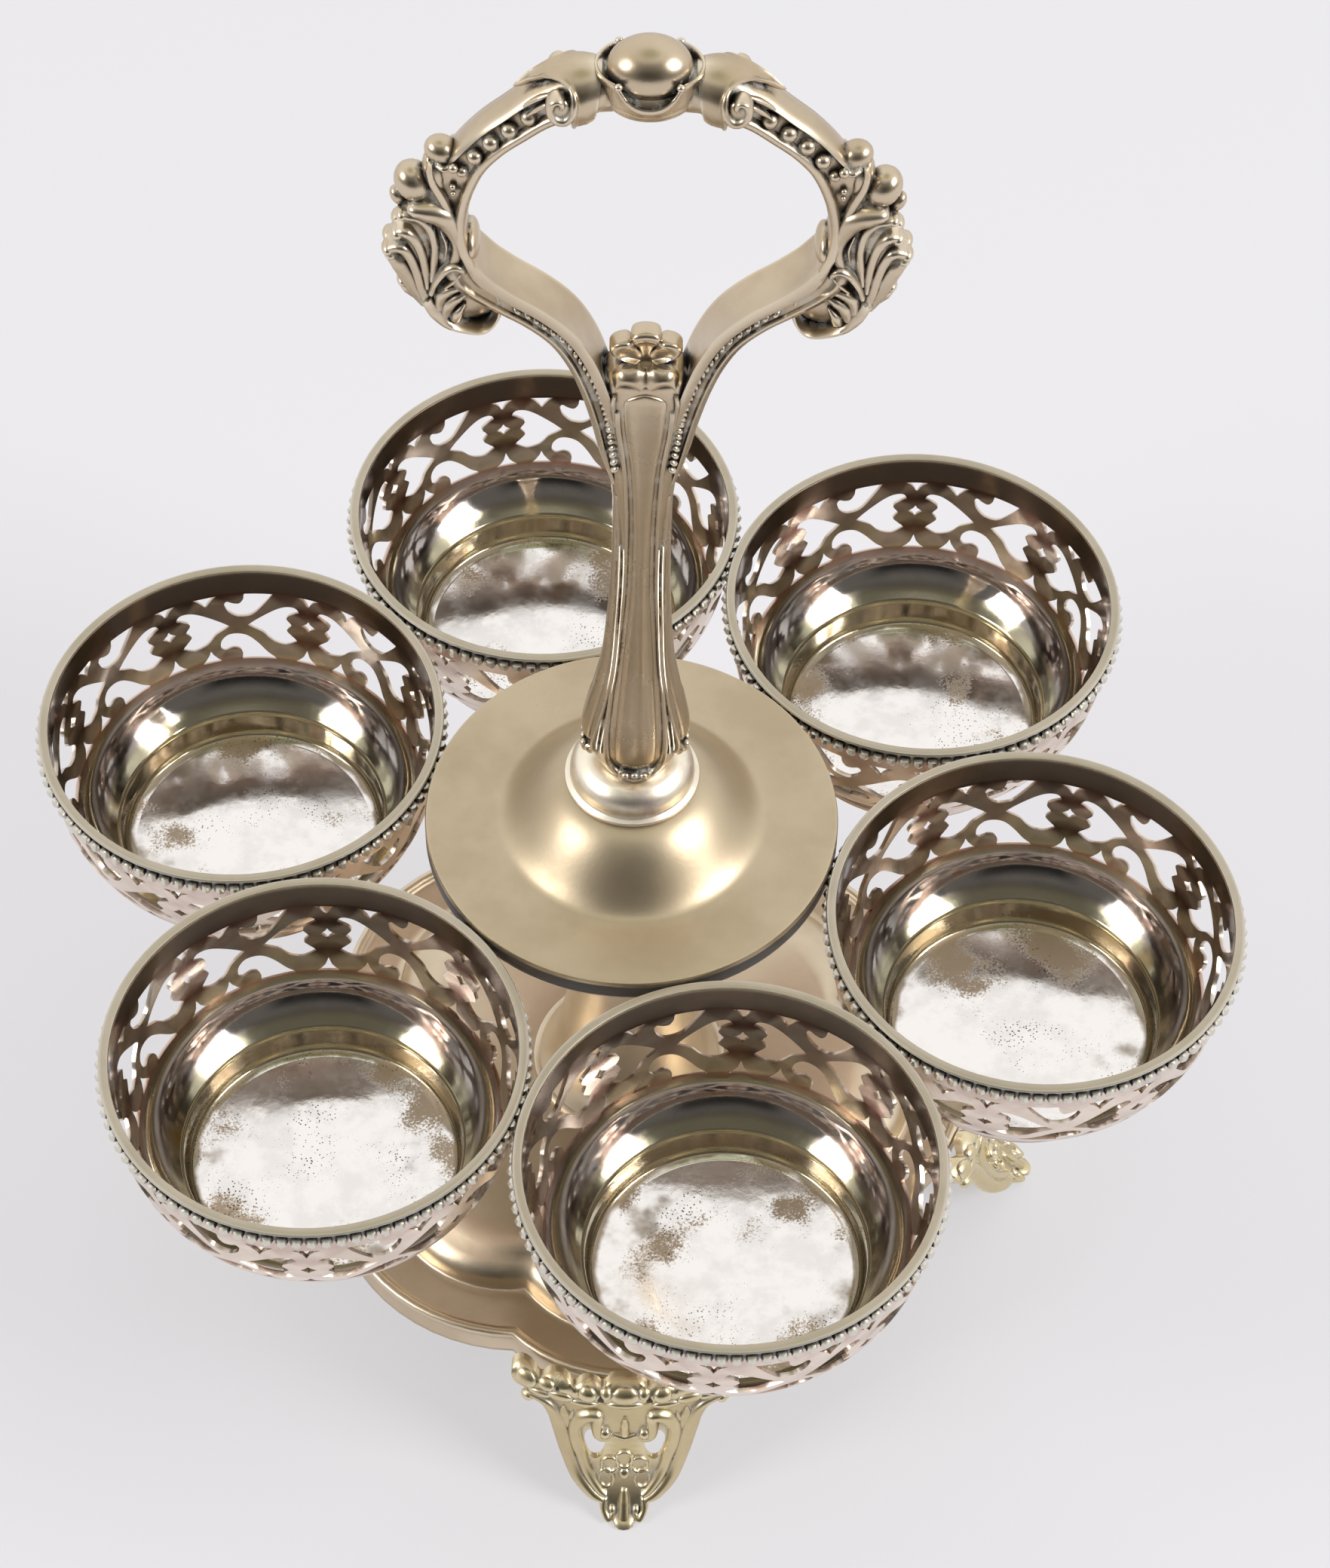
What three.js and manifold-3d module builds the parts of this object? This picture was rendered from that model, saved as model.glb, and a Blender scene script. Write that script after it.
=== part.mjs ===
// Cruet stand: six pierced cups that turn round a fixed column, on a lobed tray with four cast feet.
// Millimetres, +Z up. The origin is on the column's axis, at the level that the feet stand on.
// The front is -Y. The cups are turned as they stood when the stand was last put down.

import * as THREE from 'three';
import { mergeGeometries, mergeVertices } from 'three/addons/utils/BufferGeometryUtils.js';
import Module from 'manifold-3d';

const wasm = await Module();
wasm.setup();

// Clearances and sheet metal
const seatGap = 0.3;
const sheetWall = 0.9;

// Cups
const cupCount = 6;
const firstCupAzimuth = -76.55;
const cupRadius = 31.1;
const cupDepth = 30.8;
const rimLevel = 99.2;
const rimRingWidth = 1.6;
const rimRingHeight = 2.6;
const beadOverhang = 0.5;
const bandInset = 0.8;
const bandTopDrop = 4.9;
const bandHeight = 13.6;
const bandTaper = 2.9;
const bellyRadius = 24.8;
const bellyDrop = 22.1;
const stepRadius = 21.3;
const stepDrop = 25.7;
const cupFootRadius = 20.5;

// Pierced pattern, one repeat: widths as shares of its angle, heights as shares of the pierced height
const piercedRepeats = 8;
const segmentsPerRepeat = 3;
const piercedBorder = 0.8;
const seamTolerance = 1e-4;
const diamondHalfWidth = 0.055;
const diamondHalfHeight = 0.1;
const diamondCentre = 0.565;
// The pattern is drawn taller towards the rim by this share
const piercedBias = 0.22;
const heartHole = [[0.08, 0.81], [0.22, 0.79], [0.43, 0.515], [0.16, 0.26], [0.155, 0.54]];
const upperScrollHole = [[0.42, 0.9], [0.54, 0.66], [0.77, 1], [0.56, 1]];
const lowerScrollHole = [[0.36, 0.19], [0.47, 0.4], [0.78, 0], [0.51, 0]];
// Degrees by which each cup's pattern is turned, read along the ring
const patternTurns = [85.5, 90.5, 74, 105, 89, 74.5];

// Top disc
const discEdgeDepth = 3.9;
const discLift = 0.4;
const domeRadius = 18;
const domeHeight = 9.6;
const domeSteps = 4;
const discSegments = 28;

// Column, bearing and tie rod
const rodRadius = 2.5;
const spigotRadius = 4.3;
const bushWall = 1.7;
const bushFlangeRadius = 8;
const bushFlangeHeight = 1.2;
const washerHeight = 0.9;
const columnNeckRadius = 8.2;
const columnWaistRadius = 7.6;
const columnWaistRise = 38;
const columnFlareRadius = 10;
const columnFlareRise = 18;
const columnSpreadRadius = 12.6;
const columnSpreadRise = 5;
const columnFootRadius = 15.5;
const columnFootHeight = 1.4;
const columnWall = 1.2;
const columnShoulder = 3;
const collarRadius = 10;
const collarTopRadius = 7.3;
const collarHeight = 5.2;
const rodGrip = 36;
const nutHeight = 4;
const nutRadius = 5;
const baseWasherRadius = 7.5;
const rodTail = 1.2;
const turnedSegments = 20;
const smallSegments = 16;
const rodSegments = 12;

// Base tray: tips and cusps of its eight lobes
const trayLevel = 26.4;
const traySkirt = 5.9;
const trayWall = 1.2;
const footLobeTip = 55.5;
const diagonalLobeTip = 55.2;
const trayCusp = 51.3;
const trayCuspAngle = 20.5;
const trayBorder = 1.8;
const trayRoll = 1;
const trayRollInset = 0.5;
const channelWidth = 7.2;
const channelFall = 1.9;
const domeLineCusp = 41.5;
const domeLineCuspAngle = 22.9;
const trayShoulder = 5;
const trayPlateauRadius = 26;
const trayRise = 6.6;
const footLobeSegments = 4;
const diagonalLobeSegments = 4;

// Cast feet
const footCount = 4;
const apronHalfWidth = 17.6;
const apronHeight = 5.4;
const apronBulge = 2;
const footWall = 2;
const slabColumns = 4;
const footReach = 12.6;
const bracketHalfWidth = 15.6;
const bracketWaist = 10.9;
const toeHalfWidth = 3.2;
const toePad = 5;
const footWindowInner = 3;
const footWindowOuter = 6.6;
const footWindowTop = 17;
const footWindowBottom = 9.8;

// Handle: pillar, arms and loop
const pillarFootHalf = 7.9;
const pillarWaistHalf = 4.0;
const pillarShoulderHalf = 6.9;
const pillarHeadHalf = 4.6;
const pillarHeight = 86.8;
const pillarChamfer = 0.58;
const loopCentreRise = 112;
const loopInnerHalf = 22.3;
const loopInnerRise = 17.6;
const loopInnerDrop = 28;
const loopSideThickness = 9.7;
const loopTopThickness = 5.4;
const loopDepth = 7.6;
const loopEdge = 1.4;
const loopArcSteps = 6;
const ballHalfWidth = 5.1;
const ballRadius = 3.9;
const ballRise = 4.7;
const voluteReach = 10.8;
const voluteRise = 1.1;
const voluteRadius = 1.9;
const scrollRadius = 3.5;
const voluteStand = 0.7;
// Front of the loop, right half: shares of its outer half width and of its drop to the fork
const loopLowerEdge = [
  [0.14, 1.62], [0.21, 1.28], [0.3, 0.93], [0.45, 0.76], [0.575, 0.665], [0.695, 0.745],
  [0.84, 0.64], [0.975, 0.47], [1.02, 0.305], [0.95, 0.16],
];
// The same above the loop's middle, with shares of the height of its top
const loopUpperEdge = [
  [1, 0.04], [0.93, 0.2], [0.79, 0.39], [0.625, 0.575],
  [0.51, 0.72], [0.4, 0.9], [0.27, 0.97], [0.13, 0.93],
];
// Opening between the arms: shares of its half width and of its drop to the fork
const forkEdge = [
  [0.195, 1], [0.26, 0.86], [0.375, 0.705], [0.5, 0.61],
  [0.725, 0.525], [0.93, 0.36], [0.985, 0.22], [0.95, 0.145],
];
// Pillar up to its head: shares of its foot's half width, and of its height
const pillarFootProfile = [
  [0.74, 0], [1, 0.02], [1.01, 0.036], [0.95, 0.052], [0.99, 0.082], [0.88, 0.142], [0.75, 0.21], [0.64, 0.275],
];

// Values that follow from the sizes above
const ringRadius = (cupRadius * 2 + seatGap) / (2 * Math.sin(Math.PI / cupCount));
const discRadius = ringRadius - cupRadius - seatGap;
const cupSegments = piercedRepeats * segmentsPerRepeat;
const discLevel = rimLevel + discLift;
const domeLevel = discLevel + domeHeight;
const bushBore = spigotRadius + seatGap;
const bushRadius = bushBore + bushWall;
const hubHole = bushRadius + seatGap;
const bushBottom = discLevel - discEdgeDepth;
const washerTop = bushBottom - seatGap;
const columnTop = washerTop - washerHeight - seatGap;
const collarBottom = domeLevel + seatGap;
const pillarBottom = collarBottom + collarHeight + seatGap;
const trayCentre = trayLevel + trayRise;
const columnBottom = trayCentre + seatGap;
const columnSeatRadius = columnFootRadius + trayRoll;
const apronTop = trayLevel - trayRoll;
const apronBottom = apronTop - apronHeight;
const toeFoot = footReach - toePad;
const rodHole = rodRadius + seatGap;
const loopCentre = pillarBottom + loopCentreRise;
const loopOuterHalf = loopInnerHalf + loopSideThickness;
const loopTop = loopCentre + loopInnerRise + loopTopThickness;

const silver = { color: 0xb9ae98, roughness: 0.38, metalness: 1 };
const paleGold = { color: 0xbdb283, roughness: 0.35, metalness: 1 };
const polished = { color: 0xc9c0b4, roughness: 0.15, metalness: 1 };
const brass = { color: 0xb08d4a, roughness: 0.4, metalness: 1 };
const steel = { color: 0x8a8a8c, roughness: 0.45, metalness: 1 };

const degrees = THREE.MathUtils.degToRad;

function named(name, geometry, finish) {
  const mesh = new THREE.Mesh(geometry, new THREE.MeshStandardMaterial(finish));
  mesh.name = name;
  return mesh;
}

// A closed outline from its right side, listed from one end to the other
function symmetricShape(side) {
  const right = side.map(([x, z]) => new THREE.Vector2(x, z));
  const left = side.slice().reverse().map(([x, z]) => new THREE.Vector2(-x, z));
  return new THREE.Shape([...right, ...left]);
}

// Keeps positions only, joins shared vertices and drops triangles that have closed up
function weld(geometry) {
  const bare = new THREE.BufferGeometry();
  bare.setAttribute('position', geometry.getAttribute('position').clone());
  if (geometry.index) {
    bare.setIndex(geometry.index.clone());
  }
  const joined = mergeVertices(bare, 1e-4);
  const kept = [];
  const index = joined.index.array;
  for (let i = 0; i < index.length; i += 3) {
    const [a, b, c] = [index[i], index[i + 1], index[i + 2]];
    if (a !== b && b !== c && c !== a) {
      kept.push(a, b, c);
    }
  }
  joined.setIndex(kept);
  return joined;
}

function solidOf(geometry) {
  const joined = weld(geometry);
  return new wasm.Manifold(new wasm.Mesh({
    numProp: 3,
    vertProperties: new Float32Array(joined.getAttribute('position').array),
    triVerts: new Uint32Array(joined.index.array),
  }));
}

function geometryOf(solid) {
  const mesh = solid.getMesh();
  const geometry = new THREE.BufferGeometry();
  geometry.setAttribute('position', new THREE.BufferAttribute(new Float32Array(mesh.vertProperties), 3));
  geometry.setIndex(new THREE.BufferAttribute(new Uint32Array(mesh.triVerts), 1));
  return geometry;
}

// Turns a profile of [radius, height] pairs about the Z axis. The profile runs anticlockwise
// round the metal, so that its faces look outwards.
function turned(profile, segments) {
  const points = profile.map(([radius, height]) => new THREE.Vector2(radius, height));
  return weld(new THREE.LatheGeometry(points, segments).rotateX(Math.PI / 2));
}

function closedTurned(profile, segments) {
  return turned([...profile, profile[0]], segments);
}

// Depth below the rim to radius on the outside of the pierced band
function bandRadius(drop) {
  const share = (drop - bandTopDrop) / bandHeight;
  return cupRadius - bandInset - bandTaper * share * share;
}

// One repeat of the pierced band, drawn flat: x is the share of the repeat, y the depth below
// the rim with its sign turned, and z runs from the inside of the sheet to the outside.
function piercedRepeat() {
  const top = -bandTopDrop;
  const bottom = -(bandTopDrop + bandHeight);
  const holeTop = top - piercedBorder;
  const holeBottom = bottom + piercedBorder;
  const level = (share) => (
    THREE.MathUtils.lerp(holeBottom, holeTop, share * (1 - piercedBias + piercedBias * share))
  );
  const shape = new THREE.Shape();
  shape.moveTo(0, bottom);
  for (let i = 1; i <= segmentsPerRepeat; i += 1) {
    shape.lineTo(i / segmentsPerRepeat, bottom);
  }
  shape.lineTo(1, level(diamondCentre - diamondHalfHeight));
  shape.lineTo(1 - diamondHalfWidth, level(diamondCentre));
  shape.lineTo(1, level(diamondCentre + diamondHalfHeight));
  for (let i = segmentsPerRepeat; i >= 0; i -= 1) {
    shape.lineTo(i / segmentsPerRepeat, top);
  }
  shape.lineTo(0, level(diamondCentre + diamondHalfHeight));
  shape.lineTo(diamondHalfWidth, level(diamondCentre));
  shape.lineTo(0, level(diamondCentre - diamondHalfHeight));
  const mirroredHeart = heartHole.map(([u, v]) => [1 - u, v]);
  for (const hole of [heartHole, mirroredHeart, upperScrollHole, lowerScrollHole]) {
    shape.holes.push(new THREE.Path(hole.map(([u, v]) => new THREE.Vector2(1 - u, level(v)))));
  }
  return new THREE.ExtrudeGeometry(shape, { depth: 1, steps: 1, bevelEnabled: false });
}

// Drops the flat repeat's own edges, which lie inside the metal once the repeats are joined
function withoutSeams(flat) {
  const position = flat.getAttribute('position');
  const top = -bandTopDrop;
  const bottom = -(bandTopDrop + bandHeight);
  const kept = [];
  const same = (values, target) => values.every((value) => Math.abs(value - target) < seamTolerance);
  for (let i = 0; i < position.count; i += 3) {
    const corners = [i, i + 1, i + 2];
    const across = corners.map((k) => position.getX(k));
    const along = corners.map((k) => position.getY(k));
    const seam = same(across, 0) || same(across, 1) || same(along, top) || same(along, bottom);
    if (!seam) {
      corners.forEach((k) => kept.push(position.getX(k), position.getY(k), position.getZ(k)));
    }
  }
  return kept;
}

// The whole pierced band, rolled round the cup's axis as an open surface
function piercedBand() {
  const flat = withoutSeams(piercedRepeat());
  const rolled = [];
  for (let repeat = 0; repeat < piercedRepeats; repeat += 1) {
    for (let i = 0; i < flat.length; i += 3) {
      const angle = ((repeat + flat[i]) / piercedRepeats) * 2 * Math.PI;
      const radius = bandRadius(-flat[i + 1]) - (1 - flat[i + 2]) * sheetWall;
      rolled.push(radius * Math.cos(angle), radius * Math.sin(angle), flat[i + 1]);
    }
  }
  const geometry = new THREE.BufferGeometry();
  geometry.setAttribute('position', new THREE.Float32BufferAttribute(rolled, 3));
  return geometry;
}

// A cup: stepped foot, round belly, pierced band and plain top edge, all of one sheet
function cupBowl() {
  const bandBottomDrop = bandTopDrop + bandHeight;
  const outerTop = bandRadius(bandTopDrop);
  const outerBottom = bandRadius(bandBottomDrop);
  const topEdge = -(rimRingHeight + seatGap);
  const lowerOutside = [
    [0, -cupDepth],
    [cupFootRadius, -cupDepth],
    [stepRadius, -stepDrop - sheetWall / 2],
    [bellyRadius, -bellyDrop],
    [outerBottom, -bandBottomDrop],
  ];
  const upperPart = [
    [outerTop, -bandTopDrop],
    [outerTop, topEdge],
    [outerTop - sheetWall, topEdge],
    [outerTop - sheetWall, -bandTopDrop],
  ];
  const lowerInside = [
    [outerBottom - sheetWall, -bandBottomDrop],
    [bellyRadius - sheetWall, -bellyDrop + sheetWall / 2],
    [stepRadius - sheetWall, -stepDrop + sheetWall / 2],
    [cupFootRadius - sheetWall, -cupDepth + sheetWall],
    [0, -cupDepth + sheetWall],
  ];
  const surfaces = [lowerOutside, upperPart, lowerInside].map((profile) => (
    turned(profile, cupSegments).toNonIndexed()
  ));
  return weld(mergeGeometries([...surfaces, piercedBand()]));
}

// Flat ring on top, with its outer side leaning out to the bead row's reach
function cupRim() {
  const inner = cupRadius - rimRingWidth;
  return closedTurned([
    [inner, -rimRingHeight],
    [cupRadius - beadOverhang, -rimRingHeight],
    [cupRadius, 0],
    [inner, 0],
  ], cupSegments);
}

// Flat disc with a domed middle and its edge turned down, open underneath
function topDisc() {
  const dome = [];
  for (let i = 0; i <= domeSteps; i += 1) {
    const share = i / domeSteps;
    const rise = (1 + Math.cos(share * Math.PI)) / 2;
    dome.push([THREE.MathUtils.lerp(hubHole, domeRadius, share), discLevel + domeHeight * rise]);
  }
  const under = dome.map(([radius, height]) => [radius, height - sheetWall]);
  return closedTurned([
    ...under,
    [discRadius - sheetWall, discLevel - sheetWall],
    [discRadius - sheetWall, discLevel - discEdgeDepth],
    [discRadius, discLevel - discEdgeDepth],
    [discRadius, discLevel],
    ...dome.reverse(),
  ], discSegments);
}

// Bush that the disc is fixed to, turning on the column's spigot
function hubBush() {
  const top = domeLevel - seatGap;
  return closedTurned([
    [bushBore, bushBottom],
    [bushFlangeRadius, bushBottom],
    [bushFlangeRadius, bushBottom + bushFlangeHeight],
    [bushRadius, bushBottom + bushFlangeHeight],
    [bushRadius, top],
    [bushBore, top],
  ], smallSegments);
}

function bearingWasher() {
  return closedTurned([
    [bushBore, washerTop - washerHeight],
    [columnNeckRadius, washerTop - washerHeight],
    [columnNeckRadius, washerTop],
    [bushBore, washerTop],
  ], smallSegments);
}

// Hollow trumpet-shaped column with the shoulder and spigot that carry the turning disc
function column() {
  const outside = [
    [columnFootRadius, columnBottom],
    [columnFootRadius, columnBottom + columnFootHeight],
    [columnSpreadRadius, columnBottom + columnSpreadRise],
    [columnFlareRadius, columnBottom + columnFlareRise],
    [columnWaistRadius, columnBottom + columnWaistRise],
    [columnNeckRadius, columnTop - columnFootHeight],
    [columnNeckRadius, columnTop],
  ];
  return closedTurned([
    [rodHole, columnTop - columnShoulder],
    [columnWaistRadius - columnWall, columnTop - columnShoulder],
    [columnFlareRadius - columnWall, columnBottom + columnFlareRise],
    [columnFootRadius - columnWall * 2, columnBottom],
    ...outside,
    [spigotRadius, columnTop],
    [spigotRadius, collarBottom - seatGap],
    [rodHole, collarBottom - seatGap],
  ], turnedSegments);
}

// Bell-shaped ring under the pillar
function handleCollar() {
  const top = collarBottom + collarHeight;
  return closedTurned([
    [rodHole, collarBottom],
    [collarRadius, collarBottom],
    [collarRadius, collarBottom + collarHeight * 0.22],
    [collarRadius * 0.93, collarBottom + collarHeight * 0.5],
    [collarTopRadius, collarBottom + collarHeight * 0.72],
    [collarTopRadius, top],
    [rodHole, top],
  ], turnedSegments);
}

function tieRod() {
  const bottom = trayCentre - trayWall - washerHeight - nutHeight - seatGap * 2 - rodTail;
  const top = pillarBottom + rodGrip - seatGap;
  return turned([[0, bottom], [rodRadius, bottom], [rodRadius, top], [0, top]], rodSegments);
}

function baseWasher() {
  const top = trayCentre - trayWall - seatGap;
  return closedTurned([
    [rodHole, top - washerHeight],
    [baseWasherRadius, top - washerHeight],
    [baseWasherRadius, top],
    [rodHole, top],
  ], smallSegments);
}

function baseNut() {
  const top = trayCentre - trayWall - washerHeight - seatGap * 2;
  const block = new THREE.CylinderGeometry(nutRadius, nutRadius, nutHeight, 6);
  block.rotateX(Math.PI / 2).translate(0, 0, top - nutHeight / 2);
  const bore = new THREE.CylinderGeometry(rodHole, rodHole, nutHeight * 2, rodSegments);
  bore.rotateX(Math.PI / 2).translate(0, 0, top - nutHeight / 2);
  return geometryOf(solidOf(block).subtract(solidOf(bore)));
}

// One lobe's outline from cusp to cusp as a round arc, seen from above, its tip on +X
function lobeArc(tip, cusp, halfAngle, segments) {
  const cuspX = cusp * Math.cos(degrees(halfAngle));
  const cuspY = cusp * Math.sin(degrees(halfAngle));
  const centre = (tip * tip - cusp * cusp) / (2 * (tip - cuspX));
  const radius = tip - centre;
  const sweep = Math.atan2(cuspY, cuspX - centre);
  const points = [];
  for (let i = 0; i < segments; i += 1) {
    const angle = THREE.MathUtils.lerp(-sweep, sweep, i / segments);
    points.push(new THREE.Vector2(centre + radius * Math.cos(angle), radius * Math.sin(angle)));
  }
  return points;
}

// A closed outline of eight lobes at one height
function lobedRing({ foot, diagonal, cusp, cuspAngle, height }) {
  const ring = [];
  for (let quarter = 0; quarter < footCount; quarter += 1) {
    const turn = quarter * (360 / footCount);
    const half = 360 / footCount / 2;
    const lobes = [
      [turn, lobeArc(foot, cusp, cuspAngle, footLobeSegments)],
      [turn + half, lobeArc(diagonal, cusp, half - cuspAngle, diagonalLobeSegments)],
    ];
    for (const [azimuth, arc] of lobes) {
      for (const point of arc) {
        const place = point.clone().rotateAround(new THREE.Vector2(), degrees(azimuth));
        ring.push(new THREE.Vector3(place.x, place.y, height));
      }
    }
  }
  return ring;
}

// Joins closed rings of equal length, one after the other and the last to the first
function skinRings(rings) {
  const position = [];
  const index = [];
  const count = rings[0].length;
  rings.forEach((ring) => ring.forEach((point) => position.push(point.x, point.y, point.z)));
  rings.forEach((ring, k) => {
    const here = k * count;
    const next = ((k + 1) % rings.length) * count;
    for (let i = 0; i < count; i += 1) {
      const j = (i + 1) % count;
      index.push(here + i, here + j, next + j, here + i, next + j, next + i);
    }
  });
  const geometry = new THREE.BufferGeometry();
  geometry.setAttribute('position', new THREE.Float32BufferAttribute(position, 3));
  geometry.setIndex(index);
  return geometry;
}

// The tray: rolled border, sloping channel, domed middle and outer skirt, open underneath
function baseTray() {
  const border = (inset, height) => ({
    foot: footLobeTip - inset,
    diagonal: diagonalLobeTip - inset,
    cusp: trayCusp - inset,
    cuspAngle: trayCuspAngle,
    height,
  });
  const lineInset = trayBorder + channelWidth;
  const domeLine = (inset, height) => ({
    foot: footLobeTip - lineInset - inset,
    diagonal: diagonalLobeTip - lineInset - inset,
    cusp: domeLineCusp - inset * 0.6,
    cuspAngle: domeLineCuspAngle,
    height,
  });
  const circle = (radius, height) => ({
    foot: radius,
    diagonal: radius,
    cusp: radius * 0.9999,
    cuspAngle: domeLineCuspAngle,
    height,
  });
  const channelLevel = trayLevel - channelFall;
  const shoulderLevel = trayLevel + trayRise * 0.4;
  const skirtBottom = trayLevel - traySkirt;
  const rings = [
    border(trayRollInset, skirtBottom),
    border(0, trayLevel - trayRoll),
    border(trayRollInset, trayLevel),
    border(trayBorder, trayLevel - trayRoll),
    domeLine(0, channelLevel),
    domeLine(trayShoulder * 0.3, channelLevel + (shoulderLevel - channelLevel) * 0.6),
    domeLine(trayShoulder, shoulderLevel),
    circle(trayPlateauRadius, trayLevel + trayRise * 0.72),
    circle(columnSeatRadius, trayCentre),
    circle(rodHole, trayCentre),
    circle(rodHole, trayCentre - trayWall),
    circle(columnSeatRadius, trayCentre - trayWall),
    domeLine(trayShoulder, shoulderLevel - trayWall),
    domeLine(trayWall, channelLevel - trayWall),
    border(trayBorder, trayLevel - trayRoll - trayWall),
    border(trayRollInset + trayWall, skirtBottom),
  ];
  return skinRings(rings.map(lobedRing));
}

// Distance from the axis to the outside of the tray's foot lobe, x to one side of its middle
function lobeFront(x) {
  const cuspX = trayCusp * Math.cos(degrees(trayCuspAngle));
  const centre = (footLobeTip ** 2 - trayCusp ** 2) / (2 * (footLobeTip - cuspX));
  return centre + Math.sqrt(Math.max((footLobeTip - centre) ** 2 - x * x, 0));
}

// A curved slab that follows the tray's lobe across and splays outwards down to the toe
function footSlab() {
  const half = apronHalfWidth * 1.05;
  const columns = slabColumns;
  const levels = [
    [apronTop + trayRoll, 0, apronBulge * 0.6],
    [(apronTop + apronBottom) / 2, 0, apronBulge],
    [apronBottom, footReach * 0.02, apronBulge * 0.8],
    [apronBottom * 0.72, 0.06 * footReach, 0.06 * footReach + footWall * 1.1],
    [apronBottom * 0.36, 0.23 * footReach, 0.23 * footReach + footWall * 1.3],
    [apronBottom * 0.16, 0.42 * footReach, 0.42 * footReach + footWall * 1.5],
    [0, toeFoot, footReach],
  ];
  const rings = [];
  for (const [height, inside, outside] of levels) {
    const ring = [];
    for (let i = 0; i <= columns; i += 1) {
      const x = THREE.MathUtils.lerp(-half, half, i / columns);
      ring.push(new THREE.Vector3(lobeFront(x) + seatGap + outside, x, height));
    }
    for (let i = columns; i >= 0; i -= 1) {
      const x = THREE.MathUtils.lerp(-half, half, i / columns);
      ring.push(new THREE.Vector3(lobeFront(x) + seatGap + inside, x, height));
    }
    rings.push(ring);
  }
  return cappedLoft(rings.reverse(), columns);
}

// Joins rings from the bottom one up, and closes both ends with strips across the ring
function cappedLoft(rings, columns) {
  const position = [];
  const index = [];
  const count = rings[0].length;
  rings.forEach((ring) => ring.forEach((point) => position.push(point.x, point.y, point.z)));
  for (let k = 0; k + 1 < rings.length; k += 1) {
    for (let i = 0; i < count; i += 1) {
      const j = (i + 1) % count;
      const [here, next] = [k * count, (k + 1) * count];
      index.push(here + i, here + j, next + j, here + i, next + j, next + i);
    }
  }
  const last = (rings.length - 1) * count;
  for (let i = 0; i < columns; i += 1) {
    const [a, b, c, d] = [i, i + 1, count - 2 - i, count - 1 - i];
    index.push(a, c, b, a, d, c);
    index.push(last + a, last + b, last + c, last + a, last + c, last + d);
  }
  const geometry = new THREE.BufferGeometry();
  geometry.setAttribute('position', new THREE.Float32BufferAttribute(position, 3));
  geometry.setIndex(index);
  return geometry;
}

// Front view of a foot: scalloped apron, groove ends, bracket sides and toe, with two windows
function footOutline() {
  const scallop = apronHeight * 0.15;
  const rightSide = [
    [toeHalfWidth, -footWall],
    [toeHalfWidth, apronBottom * 0.12],
    [toeHalfWidth * 1.9, apronBottom * 0.2],
    [bracketWaist * 0.81, apronBottom * 0.42],
    [bracketWaist * 0.92, apronBottom * 0.64],
    [bracketWaist, apronBottom * 0.84],
    [bracketHalfWidth, apronBottom * 0.93],
    [bracketHalfWidth, apronBottom],
    [apronHalfWidth, apronTop - apronHeight * 0.4],
    [apronHalfWidth, apronTop],
    [apronHalfWidth * 0.78, apronTop - scallop],
    [apronHalfWidth * 0.5, apronTop],
    [apronHalfWidth * 0.25, apronTop - scallop],
  ];
  const shape = symmetricShape(rightSide);
  const windowLevel = (share) => THREE.MathUtils.lerp(footWindowBottom, footWindowTop, share);
  for (const side of [1, -1]) {
    shape.holes.push(new THREE.Path([
      [footWindowInner, windowLevel(0.83)],
      [footWindowOuter * 0.8, windowLevel(1)],
      [footWindowOuter, windowLevel(0.5)],
      [footWindowOuter * 0.85, windowLevel(0)],
      [footWindowInner * 1.1, windowLevel(0.2)],
    ].map(([x, z]) => new THREE.Vector2(side * x, z))));
  }
  return shape;
}

function castFoot() {
  const outline = footOutline();
  const reach = footLobeTip + footReach * 2;
  const prism = new THREE.ExtrudeGeometry(outline, { depth: reach, bevelEnabled: false });
  prism.rotateX(Math.PI / 2).rotateZ(Math.PI / 2);
  return geometryOf(solidOf(footSlab()).intersect(solidOf(prism)));
}

// Square section of the pillar with its corners cut off, at one height
function pillarSection(half, height) {
  const flat = half * (1 - pillarChamfer);
  const corners = [[half, flat], [flat, half], [-flat, half], [-half, flat]];
  const opposite = corners.map(([x, y]) => [-x, -y]);
  return [...corners, ...opposite].map(([x, y]) => new THREE.Vector3(x, y, height));
}

function stackSections(rings) {
  const count = rings[0].length;
  const position = [];
  const index = [];
  rings.forEach((ring) => ring.forEach((point) => position.push(point.x, point.y, point.z)));
  for (let k = 0; k + 1 < rings.length; k += 1) {
    for (let i = 0; i < count; i += 1) {
      const j = (i + 1) % count;
      const [here, next] = [k * count, (k + 1) * count];
      index.push(here + i, here + j, next + j, here + i, next + j, next + i);
    }
  }
  const last = (rings.length - 1) * count;
  for (let i = 1; i + 1 < count; i += 1) {
    index.push(0, i + 1, i, last, last + i, last + i + 1);
  }
  const geometry = new THREE.BufferGeometry();
  geometry.setAttribute('position', new THREE.Float32BufferAttribute(position, 3));
  geometry.setIndex(index);
  return geometry;
}

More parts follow.
